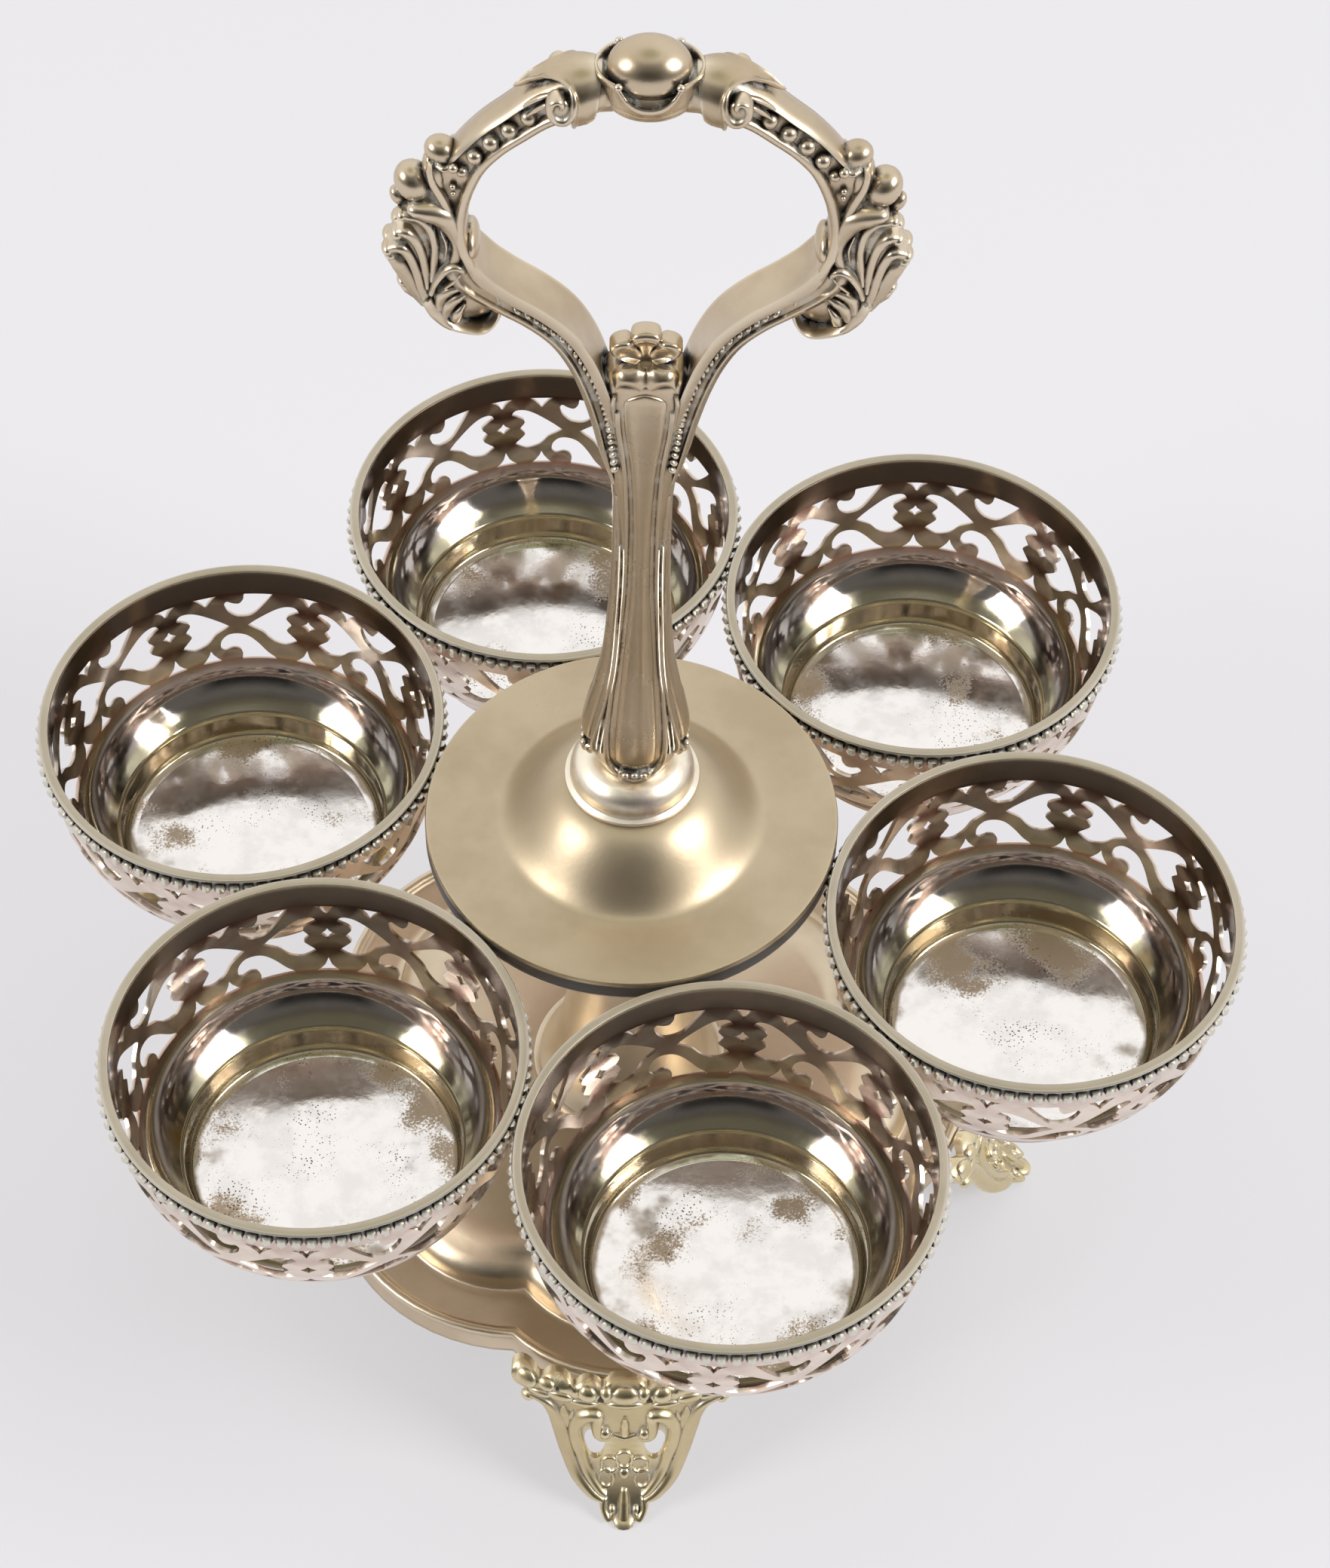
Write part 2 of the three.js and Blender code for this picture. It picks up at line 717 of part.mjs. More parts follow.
// Pillar with spread foot, slim waist, wide shoulder and narrower head
function pillar() {
  const profile = pillarFootProfile.map(([width, rise]) => [pillarFootHalf * width, rise]);
  profile.push(
    [pillarWaistHalf * 1.12, 0.375],
    [pillarWaistHalf, 0.53],
    [pillarWaistHalf * 1.1, 0.62],
    [pillarShoulderHalf * 0.75, 0.71],
    [pillarShoulderHalf * 0.86, 0.8],
    [pillarShoulderHalf, 0.88],
    [pillarHeadHalf, 1],
  );
  const section = ([half, rise]) => pillarSection(half, pillarBottom + rise * pillarHeight);
  return stackSections(profile.map(section));
}

// Front view of the arms and loop
function loopOutline() {
  const shape = symmetricShape([
    ...loopLowerEdge.map(([width, drop]) => [loopOuterHalf * width, loopCentre - loopInnerDrop * drop]),
    ...loopUpperEdge.map(([width, rise]) => [
      loopOuterHalf * width,
      loopCentre + (loopTop - loopCentre) * rise,
    ]),
  ]);
  const inside = forkEdge.map(([width, drop]) => [loopInnerHalf * width, loopCentre - loopInnerDrop * drop]);
  for (let i = 0; i < loopArcSteps; i += 1) {
    const angle = (i / loopArcSteps) * (Math.PI / 2);
    inside.push([loopInnerHalf * Math.cos(angle), loopCentre + loopInnerRise * Math.sin(angle)]);
  }
  const hole = inside.map(([x, z]) => new THREE.Vector2(x, z));
  hole.push(new THREE.Vector2(0, loopCentre + loopInnerRise));
  inside.slice().reverse().forEach(([x, z]) => hole.push(new THREE.Vector2(-x, z)));
  shape.holes.push(new THREE.Path(hole));
  return shape;
}

function ellipsoid([halfX, halfY, halfZ], x, z, turn = 0) {
  const ball = new THREE.SphereGeometry(1, 8, 6).rotateX(Math.PI / 2).scale(halfX, halfY, halfZ);
  return solidOf(ball.rotateY(turn).translate(x, 0, z));
}

function crossPin(radius, length, x, z) {
  const pin = new THREE.CylinderGeometry(radius, radius, length, 8);
  return solidOf(pin.translate(x, 0, z));
}

// One casting: pillar, forked arms, loop, ball boss, volutes, buds and leaves
function handle() {
  const plate = new THREE.ExtrudeGeometry(loopOutline(), {
    depth: loopDepth - loopEdge * 2,
    bevelThickness: loopEdge,
    bevelSize: loopEdge,
    bevelOffset: -loopEdge,
    bevelSegments: 1,
  });
  plate.rotateX(Math.PI / 2).translate(0, loopDepth / 2 - loopEdge, 0);
  const budHalf = [loopOuterHalf * 0.12, loopDepth * 0.7, loopOuterHalf * 0.16];
  const leafHalf = [loopOuterHalf * 0.14, loopDepth * 0.7, loopOuterHalf * 0.23];
  const voluteLevel = loopCentre + loopInnerRise + voluteRise;
  const scrollLevel = loopCentre - loopInnerDrop * 0.58;
  const pieces = [
    solidOf(pillar()),
    ellipsoid([ballHalfWidth, ballHalfWidth, ballRadius], 0, loopTop - loopTopThickness + ballRise),
  ];
  for (const side of [1, -1]) {
    pieces.push(
      crossPin(voluteRadius, loopDepth + voluteStand * 2, side * voluteReach, voluteLevel),
      crossPin(scrollRadius, loopDepth + voluteStand, side * loopOuterHalf * 0.69, scrollLevel),
      ellipsoid(budHalf, side * loopOuterHalf * 0.86, loopCentre + loopInnerRise * 0.08, side * 0.35),
      ellipsoid(leafHalf, side * loopOuterHalf * 0.87, loopCentre - loopInnerDrop * 0.34, side * -0.2),
    );
  }
  const casting = pieces.reduce((whole, piece) => whole.add(piece), solidOf(plate));
  const bore = new THREE.CylinderGeometry(rodHole, rodHole, rodGrip * 2, rodSegments);
  bore.rotateX(Math.PI / 2).translate(0, 0, pillarBottom);
  return geometryOf(casting.subtract(solidOf(bore)));
}

function carousel() {
  const group = new THREE.Group();
  group.add(named('top_disc', topDisc(), silver));
  group.add(named('hub_bush', hubBush(), brass));
  const bowl = cupBowl();
  const rim = cupRim();
  for (let i = 0; i < cupCount; i += 1) {
    const azimuth = firstCupAzimuth - (i * 360) / cupCount;
    const place = new THREE.Vector3(ringRadius, 0, rimLevel);
    place.applyAxisAngle(new THREE.Vector3(0, 0, 1), degrees(azimuth));
    const cupBody = named(`cup_bowl_${i + 1}`, bowl, polished);
    const cupEdge = named(`cup_rim_${i + 1}`, rim, silver);
    for (const piece of [cupBody, cupEdge]) {
      piece.position.copy(place);
      piece.rotation.z = degrees(patternTurns[i % patternTurns.length]);
      group.add(piece);
    }
  }
  return group;
}

function stand() {
  const group = new THREE.Group();
  group.add(named('base_tray', baseTray(), silver));
  const footNames = ['foot_right', 'foot_back', 'foot_left', 'foot_front'];
  const footGeometry = castFoot();
  footNames.forEach((name, i) => {
    const foot = named(name, footGeometry, paleGold);
    foot.rotation.z = degrees((i * 360) / footCount);
    group.add(foot);
  });
  group.add(named('column', column(), silver));
  group.add(named('bearing_washer', bearingWasher(), brass));
  group.add(named('handle_collar', handleCollar(), silver));
  group.add(named('handle', handle(), paleGold));
  group.add(named('tie_rod', tieRod(), steel));
  group.add(named('base_washer', baseWasher(), steel));
  group.add(named('base_nut', baseNut(), steel));
  return group;
}

const cruetStand = new THREE.Group();
cruetStand.add(stand());
cruetStand.add(carousel());

export default cruetStand;
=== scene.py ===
"""Looks of a revolving cruet stand: silver-plated, with pierced cups, cast feet and a loop handle.

Shapes are written in millimetres and scaled to metres when a piece is finished. Every piece stands
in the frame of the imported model, with +Z up and the front towards -Y.
"""
from __future__ import annotations

import logging
import math
from dataclasses import dataclass, field
from enum import Enum
from typing import Callable, Iterable, Sequence

import bmesh
import bpy
from mathutils import Matrix, Vector

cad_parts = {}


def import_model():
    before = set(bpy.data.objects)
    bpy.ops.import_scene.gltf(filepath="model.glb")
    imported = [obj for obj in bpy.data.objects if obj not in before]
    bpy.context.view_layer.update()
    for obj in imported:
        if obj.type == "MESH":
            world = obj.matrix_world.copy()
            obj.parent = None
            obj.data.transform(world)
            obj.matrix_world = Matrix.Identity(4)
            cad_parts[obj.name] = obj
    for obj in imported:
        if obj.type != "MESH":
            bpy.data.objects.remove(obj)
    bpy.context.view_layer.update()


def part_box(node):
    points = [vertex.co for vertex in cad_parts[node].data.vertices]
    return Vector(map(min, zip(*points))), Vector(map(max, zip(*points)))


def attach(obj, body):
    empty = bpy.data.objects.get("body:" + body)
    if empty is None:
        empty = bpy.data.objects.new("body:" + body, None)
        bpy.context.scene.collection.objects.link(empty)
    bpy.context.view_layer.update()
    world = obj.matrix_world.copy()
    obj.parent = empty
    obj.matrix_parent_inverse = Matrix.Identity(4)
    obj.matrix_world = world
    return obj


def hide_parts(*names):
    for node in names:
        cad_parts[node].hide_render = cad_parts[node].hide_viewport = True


LOG = logging.getLogger("cruet_stand")
MM = 0.001
FULL_TURN = 2 * math.pi

Point = Sequence[float]
Points = Sequence[Point]
Numbers = Sequence[float]
Colour = tuple[float, float, float]
Socket = bpy.types.NodeSocket
NodeTree = bpy.types.NodeTree
Material = bpy.types.Material


class Body(Enum):
    """The two bodies of the stand."""

    STAND = "stand"
    CAROUSEL = "carousel"


class Slot(Enum):
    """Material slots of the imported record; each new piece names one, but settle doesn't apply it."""

    SATIN = "satin_plate"
    DISC = "disc_plate"
    POLISHED = "polished_plate"
    CAST = "cast_plate"
    FOOT = "foot_plate"
    CUP = "cup_plate"
    RIM = "rim_plate"


# Curves


def lerp(a: float, b: float, share: float) -> float:
    """Value that lies at a share of the way from a to b."""
    return a + (b - a) * share


def smooth_curve(points: Points, steps: int, corners: Iterable[int] = (),
                 closed: bool = False) -> list[Vector]:
    """Runs a smooth curve through a few points.

    Args:
        points: control points of two or three coordinates.
        steps: samples in each span between two control points.
        corners: numbers of the control points where the curve may turn sharply.
        closed: whether the curve returns to its first point.

    Returns:
        Sampled points. A closed curve doesn't repeat its first one.
    """
    knots = [Vector(p) for p in points]
    count = len(knots)
    sharp = set(corners)
    spans = count if closed else count - 1
    result: list[Vector] = []
    for i in range(spans):
        here, there = knots[i], knots[(i + 1) % count]
        before = knots[(i - 1) % count] if closed or i > 0 else here
        after = knots[(i + 2) % count] if closed or i + 2 < count else there
        chord = there - here
        leave = chord if i in sharp or before is here else (there - before) * 0.5
        arrive = chord if (i + 1) % count in sharp or after is there else (after - here) * 0.5
        for k in range(steps):
            t = k / steps
            result.append(here * (2 * t**3 - 3 * t**2 + 1) + leave * (t**3 - 2 * t**2 + t)
                          + there * (3 * t**2 - 2 * t**3) + arrive * (t**3 - t**2))
    if not closed:
        result.append(knots[-1])
    return result


def table_value(table: Points, x: float) -> float:
    """Reads a value between the rows of a short table.

    Args:
        table: rows of place and value, in the order of rising place.
        x: the place that is looked up.

    Returns:
        The value there, eased between rows, and held before the first and after the last.
    """
    if x <= table[0][0]:
        return table[0][1]
    for k in range(len(table) - 1):
        x1, y1 = table[k]
        x2, y2 = table[k + 1]
        if x > x2:
            continue
        x0, y0 = table[max(k - 1, 0)]
        x3, y3 = table[min(k + 2, len(table) - 1)]
        width = x2 - x1
        slope_in = (y2 - y0) / (x2 - x0) * width
        slope_out = (y3 - y1) / (x3 - x1) * width
        t = (x - x1) / width
        return (y1 * (2 * t**3 - 3 * t**2 + 1) + slope_in * (t**3 - 2 * t**2 + t)
                + y2 * (3 * t**2 - 2 * t**3) + slope_out * (t**3 - t**2))
    return table[-1][1]


def turned_about(azimuth: float, point: Point) -> Vector:
    """The point turned about the Z axis by an azimuth in degrees."""
    return Matrix.Rotation(math.radians(azimuth), 3, "Z") @ Vector(point)


def frontward(_: Vector) -> Vector:
    """Direction of the front, the same at every point."""
    return Vector((0, -1, 0))


def sampled(values: Numbers, share: float) -> float:
    """Reads an evenly spaced list.

    Args:
        values: the list.
        share: place in it, from 0 at its start to 1 at its end.

    Returns:
        The value there, on a straight line between its neighbours.
    """
    if len(values) == 1:
        return values[0]
    place = share * (len(values) - 1)
    low = min(int(place), len(values) - 2)
    return lerp(values[low], values[low + 1], place - low)


def flipped(points: Sequence[Vector]) -> list[Vector]:
    """Mirror image in x of a flat outline, run through backwards."""
    return [Vector((-p.x, p.y)) for p in reversed(points)]


# Mesh making


class Casting:
    """Collects the shapes of one piece, in millimetres, and makes its object."""

    def __init__(self, name: str) -> None:
        """Starts an empty piece.

        Args:
            name: the object's name.
        """
        self.name = name
        self.bm = bmesh.new()

    def join(self, shape: bmesh.types.BMesh) -> list:
        """Adds a finished shape to the piece.

        Args:
            shape: the shape, which is freed.

        Returns:
            The new vertices.
        """
        carrier = bpy.data.meshes.new("shape")
        shape.to_mesh(carrier)
        shape.free()
        count = len(self.bm.verts)
        self.bm.from_mesh(carrier)
        bpy.data.meshes.remove(carrier)
        self.bm.verts.ensure_lookup_table()
        return self.bm.verts[count:]

    def loft(self, rings: Sequence[Points], wrap: bool = False) -> list:
        """Draws a closed ring through a row of places.

        Args:
            rings: rings of equally many points.
            wrap: whether the last ring joins the first one, or both are closed with a face.

        Returns:
            The new vertices.
        """
        bm = bmesh.new()
        first = [bm.verts.new(p) for p in rings[0]]
        start = [bm.edges.new(pair) for pair in zip(first, first[1:] + first[:1])]
        current, edges = first, start
        for ring in rings[1:]:
            drawn = bmesh.ops.extrude_edge_only(bm, edges=edges)["geom"]
            fresh = {item for item in drawn if isinstance(item, bmesh.types.BMVert)}
            following = []
            for vert, place in zip(current, ring):
                partner = next(e.other_vert(vert) for e in vert.link_edges if e.other_vert(vert) in fresh)
                partner.co = Vector(place)
                following.append(partner)
            edges = [bm.edges.get(pair) for pair in zip(following, following[1:] + following[:1])]
            current = following
        if wrap:
            bmesh.ops.bridge_loops(bm, edges=start + edges)
        else:
            bmesh.ops.contextual_create(bm, geom=start)
            bmesh.ops.contextual_create(bm, geom=edges)
        bmesh.ops.recalc_face_normals(bm, faces=bm.faces)
        return self.join(bm)

    def lathe(self, profile: Points, steps: int, centre: Point = (0, 0), turn: float = 0,
              closed: bool = True) -> list:
        """Spins a profile about an upright axis.

        Args:
            profile: pairs of radius and height.
            steps: facets round the axis.
            centre: x and y of the axis.
            turn: azimuth of the first seam in degrees.
            closed: whether the profile's last point joins its first.

        Returns:
            The new vertices.
        """
        bm = bmesh.new()
        axis = Vector((centre[0], centre[1], 0))
        verts = [bm.verts.new(axis + turned_about(turn, (r, 0, z))) for r, z in profile]
        pairs = list(zip(verts, verts[1:]))
        if closed:
            pairs.append((verts[-1], verts[0]))
        edges = [bm.edges.new(pair) for pair in pairs]
        bmesh.ops.spin(bm, geom=verts + edges, cent=axis, axis=(0, 0, 1), dvec=(0, 0, 0),
                       angle=FULL_TURN, steps=steps, use_merge=True)
        bmesh.ops.remove_doubles(bm, verts=bm.verts, dist=1e-4)
        bmesh.ops.recalc_face_normals(bm, faces=bm.faces)
        return self.join(bm)

    def stroke(self, path: Points, widths: Numbers, heights: Numbers,
               up: Callable[[Vector], Vector] = frontward, sink: float = 0.6,
               place: Callable[[Vector], Vector] | None = None) -> list:
        """Lays a rounded bead of metal along a path, with its foot sunk into what it lies on.

        Args:
            path: points along the middle of the stroke.
            widths: half widths, read evenly from start to end.
            heights: heights above the ground, read in the same way.
            up: direction away from the ground at a point.
            sink: depth of the stroke's foot below the ground.
            place: maps each finished point to its place, for a bent ground.

        Returns:
            The new vertices.
        """
        points = [Vector(p) for p in path]
        count = len(points)
        outline = [(-1.0, -1.0), (-1.0, 0.0), (-0.78, 0.62), (-0.32, 0.95), (0.32, 0.95), (0.78, 0.62),
                   (1.0, 0.0), (1.0, -1.0)]
        rings = []
        for i, point in enumerate(points):
            share = i / (count - 1)
            ahead = points[min(i + 1, count - 1)] - points[max(i - 1, 0)]
            rise = up(point).normalized()
            side = ahead.cross(rise).normalized()
            half = sampled(widths, share)
            height = sampled(heights, share)
            ring = []
            for across, level in outline:
                lift = level * height if level > 0 else level * sink
                spot = point + side * (across * half) + rise * lift
                ring.append(place(spot) if place else spot)
            rings.append(ring)
        return self.loft(rings)

    def plate(self, outline: Points, holes: Sequence[Points], thickness: float, step: float,
              place: Callable[[Vector], Vector]) -> None:
        """Cuts a plate from its outline in x and z, and bends it.

        Args:
            outline: closed outline.
            holes: closed outlines of its openings.
            thickness: depth of the plate, inwards along +Y.
            step: longest edge that stays undivided.
            place: maps each point to its place.
        """
        bm = bmesh.new()
        edges = []
        for loop in (outline, *holes):
            verts = [bm.verts.new((p[0], 0, p[1])) for p in loop]
            edges += [bm.edges.new(pair) for pair in zip(verts, verts[1:] + verts[:1])]
        bmesh.ops.triangle_fill(bm, use_beauty=True, use_dissolve=False, edges=edges, normal=(0, -1, 0))
        drawn = bmesh.ops.extrude_face_region(bm, geom=bm.faces[:], use_keep_orig=True)["geom"]
        back = [item for item in drawn if isinstance(item, bmesh.types.BMVert)]
        bmesh.ops.translate(bm, verts=back, vec=(0, thickness, 0))
        for _ in range(3):
            long = [e for e in bm.edges if e.calc_length() > step]
            if not long:
                break
            bmesh.ops.subdivide_edges(bm, edges=long, cuts=1)
            bmesh.ops.triangulate(bm, faces=[f for f in bm.faces if len(f.verts) > 3])
        bmesh.ops.recalc_face_normals(bm, faces=bm.faces)
        for vert in bm.verts:
            vert.co = place(vert.co)
        self.join(bm)

    def ball(self, centre: Point, radii: Point, matrix: Matrix | None = None, segments: int = 20) -> list:
        """Adds an ellipsoid.

        Args:
            centre: its middle.
            radii: half sizes along its own axes.
            matrix: turn of its axes.
            segments: facets round it.

        Returns:
            The new vertices.
        """
        turn = matrix.to_4x4() if matrix else Matrix.Identity(4)
        shape = Matrix.Translation(Vector(centre)) @ turn @ Matrix.Diagonal((*radii, 1))
        bm = bmesh.new()
        bmesh.ops.create_uvsphere(bm, u_segments=segments, v_segments=segments // 2, radius=1, matrix=shape)
        return self.join(bm)

    def copied(self, verts: Sequence) -> tuple[list, list]:
        """Copies the faces that lie between vertices.

        Args:
            verts: vertices of the shapes.

        Returns:
            The copied vertices and the copied faces.
        """
        chosen = set(verts)
        faces = [f for f in self.bm.faces if all(v in chosen for v in f.verts)]
        copy = bmesh.ops.duplicate(self.bm, geom=faces)["geom"]
        moved = [item for item in copy if isinstance(item, bmesh.types.BMVert)]
        return moved, [item for item in copy if isinstance(item, bmesh.types.BMFace)]

    def mirror_copy(self, verts: Sequence, normal: Point) -> list:
        """Copies shapes to the other side of a plane through the axis.

        Args:
            verts: vertices of the shapes.
            normal: the plane's normal.

        Returns:
            The copied vertices.
        """
        moved, faces = self.copied(verts)
        across = Vector(normal).normalized()
        for vert in moved:
            vert.co -= across * (2 * vert.co.dot(across))
        bmesh.ops.reverse_faces(self.bm, faces=faces)
        return moved

    def turn_copy(self, verts: Sequence, azimuth: float) -> None:
        """Copies shapes to another azimuth, which is given in degrees."""
        for vert in self.copied(verts)[0]:
            vert.co = turned_about(azimuth, vert.co)

    def to_object(self, crease: float = 40) -> bpy.types.Object:
        """Makes the object from what was collected.

        Args:
            crease: edges that turn more than this many degrees stay sharp.

        Returns:
            The new object, in metres.
        """
        bm = self.bm
        bmesh.ops.recalc_face_normals(bm, faces=bm.faces)
        bmesh.ops.scale(bm, vec=(MM, MM, MM), verts=bm.verts)
        for face in bm.faces:
            face.smooth = True
        mesh = bpy.data.meshes.new(self.name)
        bm.to_mesh(mesh)
        bm.free()
        mesh.set_sharp_from_angle(angle=math.radians(crease))
        piece = bpy.data.objects.new(self.name, mesh)
        bpy.context.scene.collection.objects.link(piece)
        return piece


def settle(piece: bpy.types.Object, body: Body, slot: Slot, material: Material,
           replaced: Sequence[str] = ()) -> None:
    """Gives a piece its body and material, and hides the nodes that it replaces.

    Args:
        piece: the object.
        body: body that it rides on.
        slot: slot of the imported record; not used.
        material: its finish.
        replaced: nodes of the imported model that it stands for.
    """
    piece.data.materials.clear()
    piece.data.materials.append(material)
    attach(piece, body.value)
    if replaced:
        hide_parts(*replaced)
    LOG.info("%s: %d faces", piece.name, len(piece.data.polygons))


# Finishes


class Graph:
    """Adds nodes to one node tree and links them."""

    def __init__(self, tree: NodeTree) -> None:
        """Keeps the tree that is written to."""
        self.tree = tree

    def add(self, kind: str, inputs: dict | None = None, **settings: object) -> bpy.types.Node:
        """Adds a node.

        Args:
            kind: the node's type.
            inputs: values or output sockets for its inputs, by name or number.
            settings: properties of the node.

        Returns:
            The node.
        """
        node = self.tree.nodes.new(kind)
        for name, value in settings.items():
            setattr(node, name, value)
        for name, value in (inputs or {}).items():
            self.feed(node.inputs[name], value)
        return node

    def feed(self, socket: Socket, value: object) -> None:
        """Links an output to a socket, or sets the socket's own value."""
        if isinstance(value, Socket):
            self.tree.links.new(value, socket)
        elif isinstance(value, tuple) and len(value) == 3 and socket.type == "RGBA":
            socket.default_value = (*value, 1)
        else:
            socket.default_value = value

    def math(self, operation: str, a: object, b: object = 0.0, clamp: bool = False) -> Socket:
        """Works out one number from two."""
        node = self.add("ShaderNodeMath", {0: a, 1: b}, operation=operation, use_clamp=clamp)
        return node.outputs[0]

    def step(self, value: object, low: object, high: object, start: float = 0.0,
             end: float = 1.0) -> Socket:
        """Eases from one value to another while a number rises from low to high."""
        node = self.add("ShaderNodeMapRange", {"Value": value, "From Min": low, "From Max": high,
                                               "To Min": start, "To Max": end},
                        interpolation_type="SMOOTHSTEP")
        return node.outputs[0]

    def blend(self, mask: object, below: object, above: object) -> Socket:
        """Lays one colour over another through a mask."""
        node = self.tree.nodes.new("ShaderNodeMix")
        node.data_type = "RGBA"
        node.clamp_factor = True
        self.feed(node.inputs[0], mask)
        self.feed(node.inputs[6], below)
        self.feed(node.inputs[7], above)
        return node.outputs[2]

    def noise(self, where: object, scale: object, detail: float, roughness: float = 0.5) -> Socket:
        """Adds a noise texture, and returns its value."""
        inputs = {"Vector": where, "Scale": scale, "Detail": detail, "Roughness": roughness}
        return self.add("ShaderNodeTexNoise", inputs).outputs["Fac"]

    def swing(self, noise: object, amount: object) -> Socket:
        """Makes a noise swing about zero by an amount."""
        return self.math("MULTIPLY", self.math("SUBTRACT", noise, 0.5), amount)

    def around(self, value: object, start: object, softness: object) -> Socket:
        """Eases from 0 to 1 while a number rises past a start, over a softness on both sides of it."""
        return self.step(value, self.math("SUBTRACT", start, softness), self.math("ADD", start, softness))

    def named(self, attribute: str) -> Socket:
        """Value that the mesh keeps at each vertex under a name."""
        return self.add("ShaderNodeAttribute", attribute_name=attribute).outputs["Fac"]

    def place(self) -> Socket:
        """Position in the piece's own coordinates, in metres."""
        return self.add("ShaderNodeTexCoord").outputs["Object"]

    def group(self, tree: NodeTree, values: dict[str, float]) -> Socket:
        """Places a shared group with values of its own, and returns its output."""
        return self.add("ShaderNodeGroup", dict(values), node_tree=tree).outputs[0]

    def bump(self, height: Socket, depth: float, below: Socket | None = None) -> Socket:
        """Turns a height into a normal, over another normal if there is one.

        Args:
            height: heights from 0 to 1.
            depth: full height in millimetres.
            below: normal that it is laid over.

        Returns:
            The bumped normal.
        """
        node = self.add("ShaderNodeBump", {"Height": height, "Strength": 1.0, "Distance": depth * MM})
        if below:
            self.feed(node.inputs["Normal"], below)
        return node.outputs[0]


def new_material(name: str) -> tuple[Material, Graph, bpy.types.Node]:
    """Starts a material, and returns it with its graph and its shader."""
    material = bpy.data.materials.new(name)
    material.use_nodes = True
    return material, Graph(material.node_tree), material.node_tree.nodes["Principled BSDF"]


def new_group(name: str, inputs: dict[str, float], output: str = "Mask") -> tuple[Graph, object, object]:
    """Starts a node group with number inputs and one number output.

    Args:
        name: the group's name.
        inputs: input names with their usual values.
        output: name of the output.

    Returns:
        The graph, the sockets that give its inputs, and the socket that takes its output.
    """
    tree = bpy.data.node_groups.new(name, "ShaderNodeTree")
    for label, value in inputs.items():
        socket = tree.interface.new_socket(name=label, in_out="INPUT", socket_type="NodeSocketFloat")
        socket.default_value = value
    tree.interface.new_socket(name=output, in_out="OUTPUT", socket_type="NodeSocketFloat")
    graph = Graph(tree)
    return graph, graph.add("NodeGroupInput").outputs, graph.add("NodeGroupOutput").inputs[0]


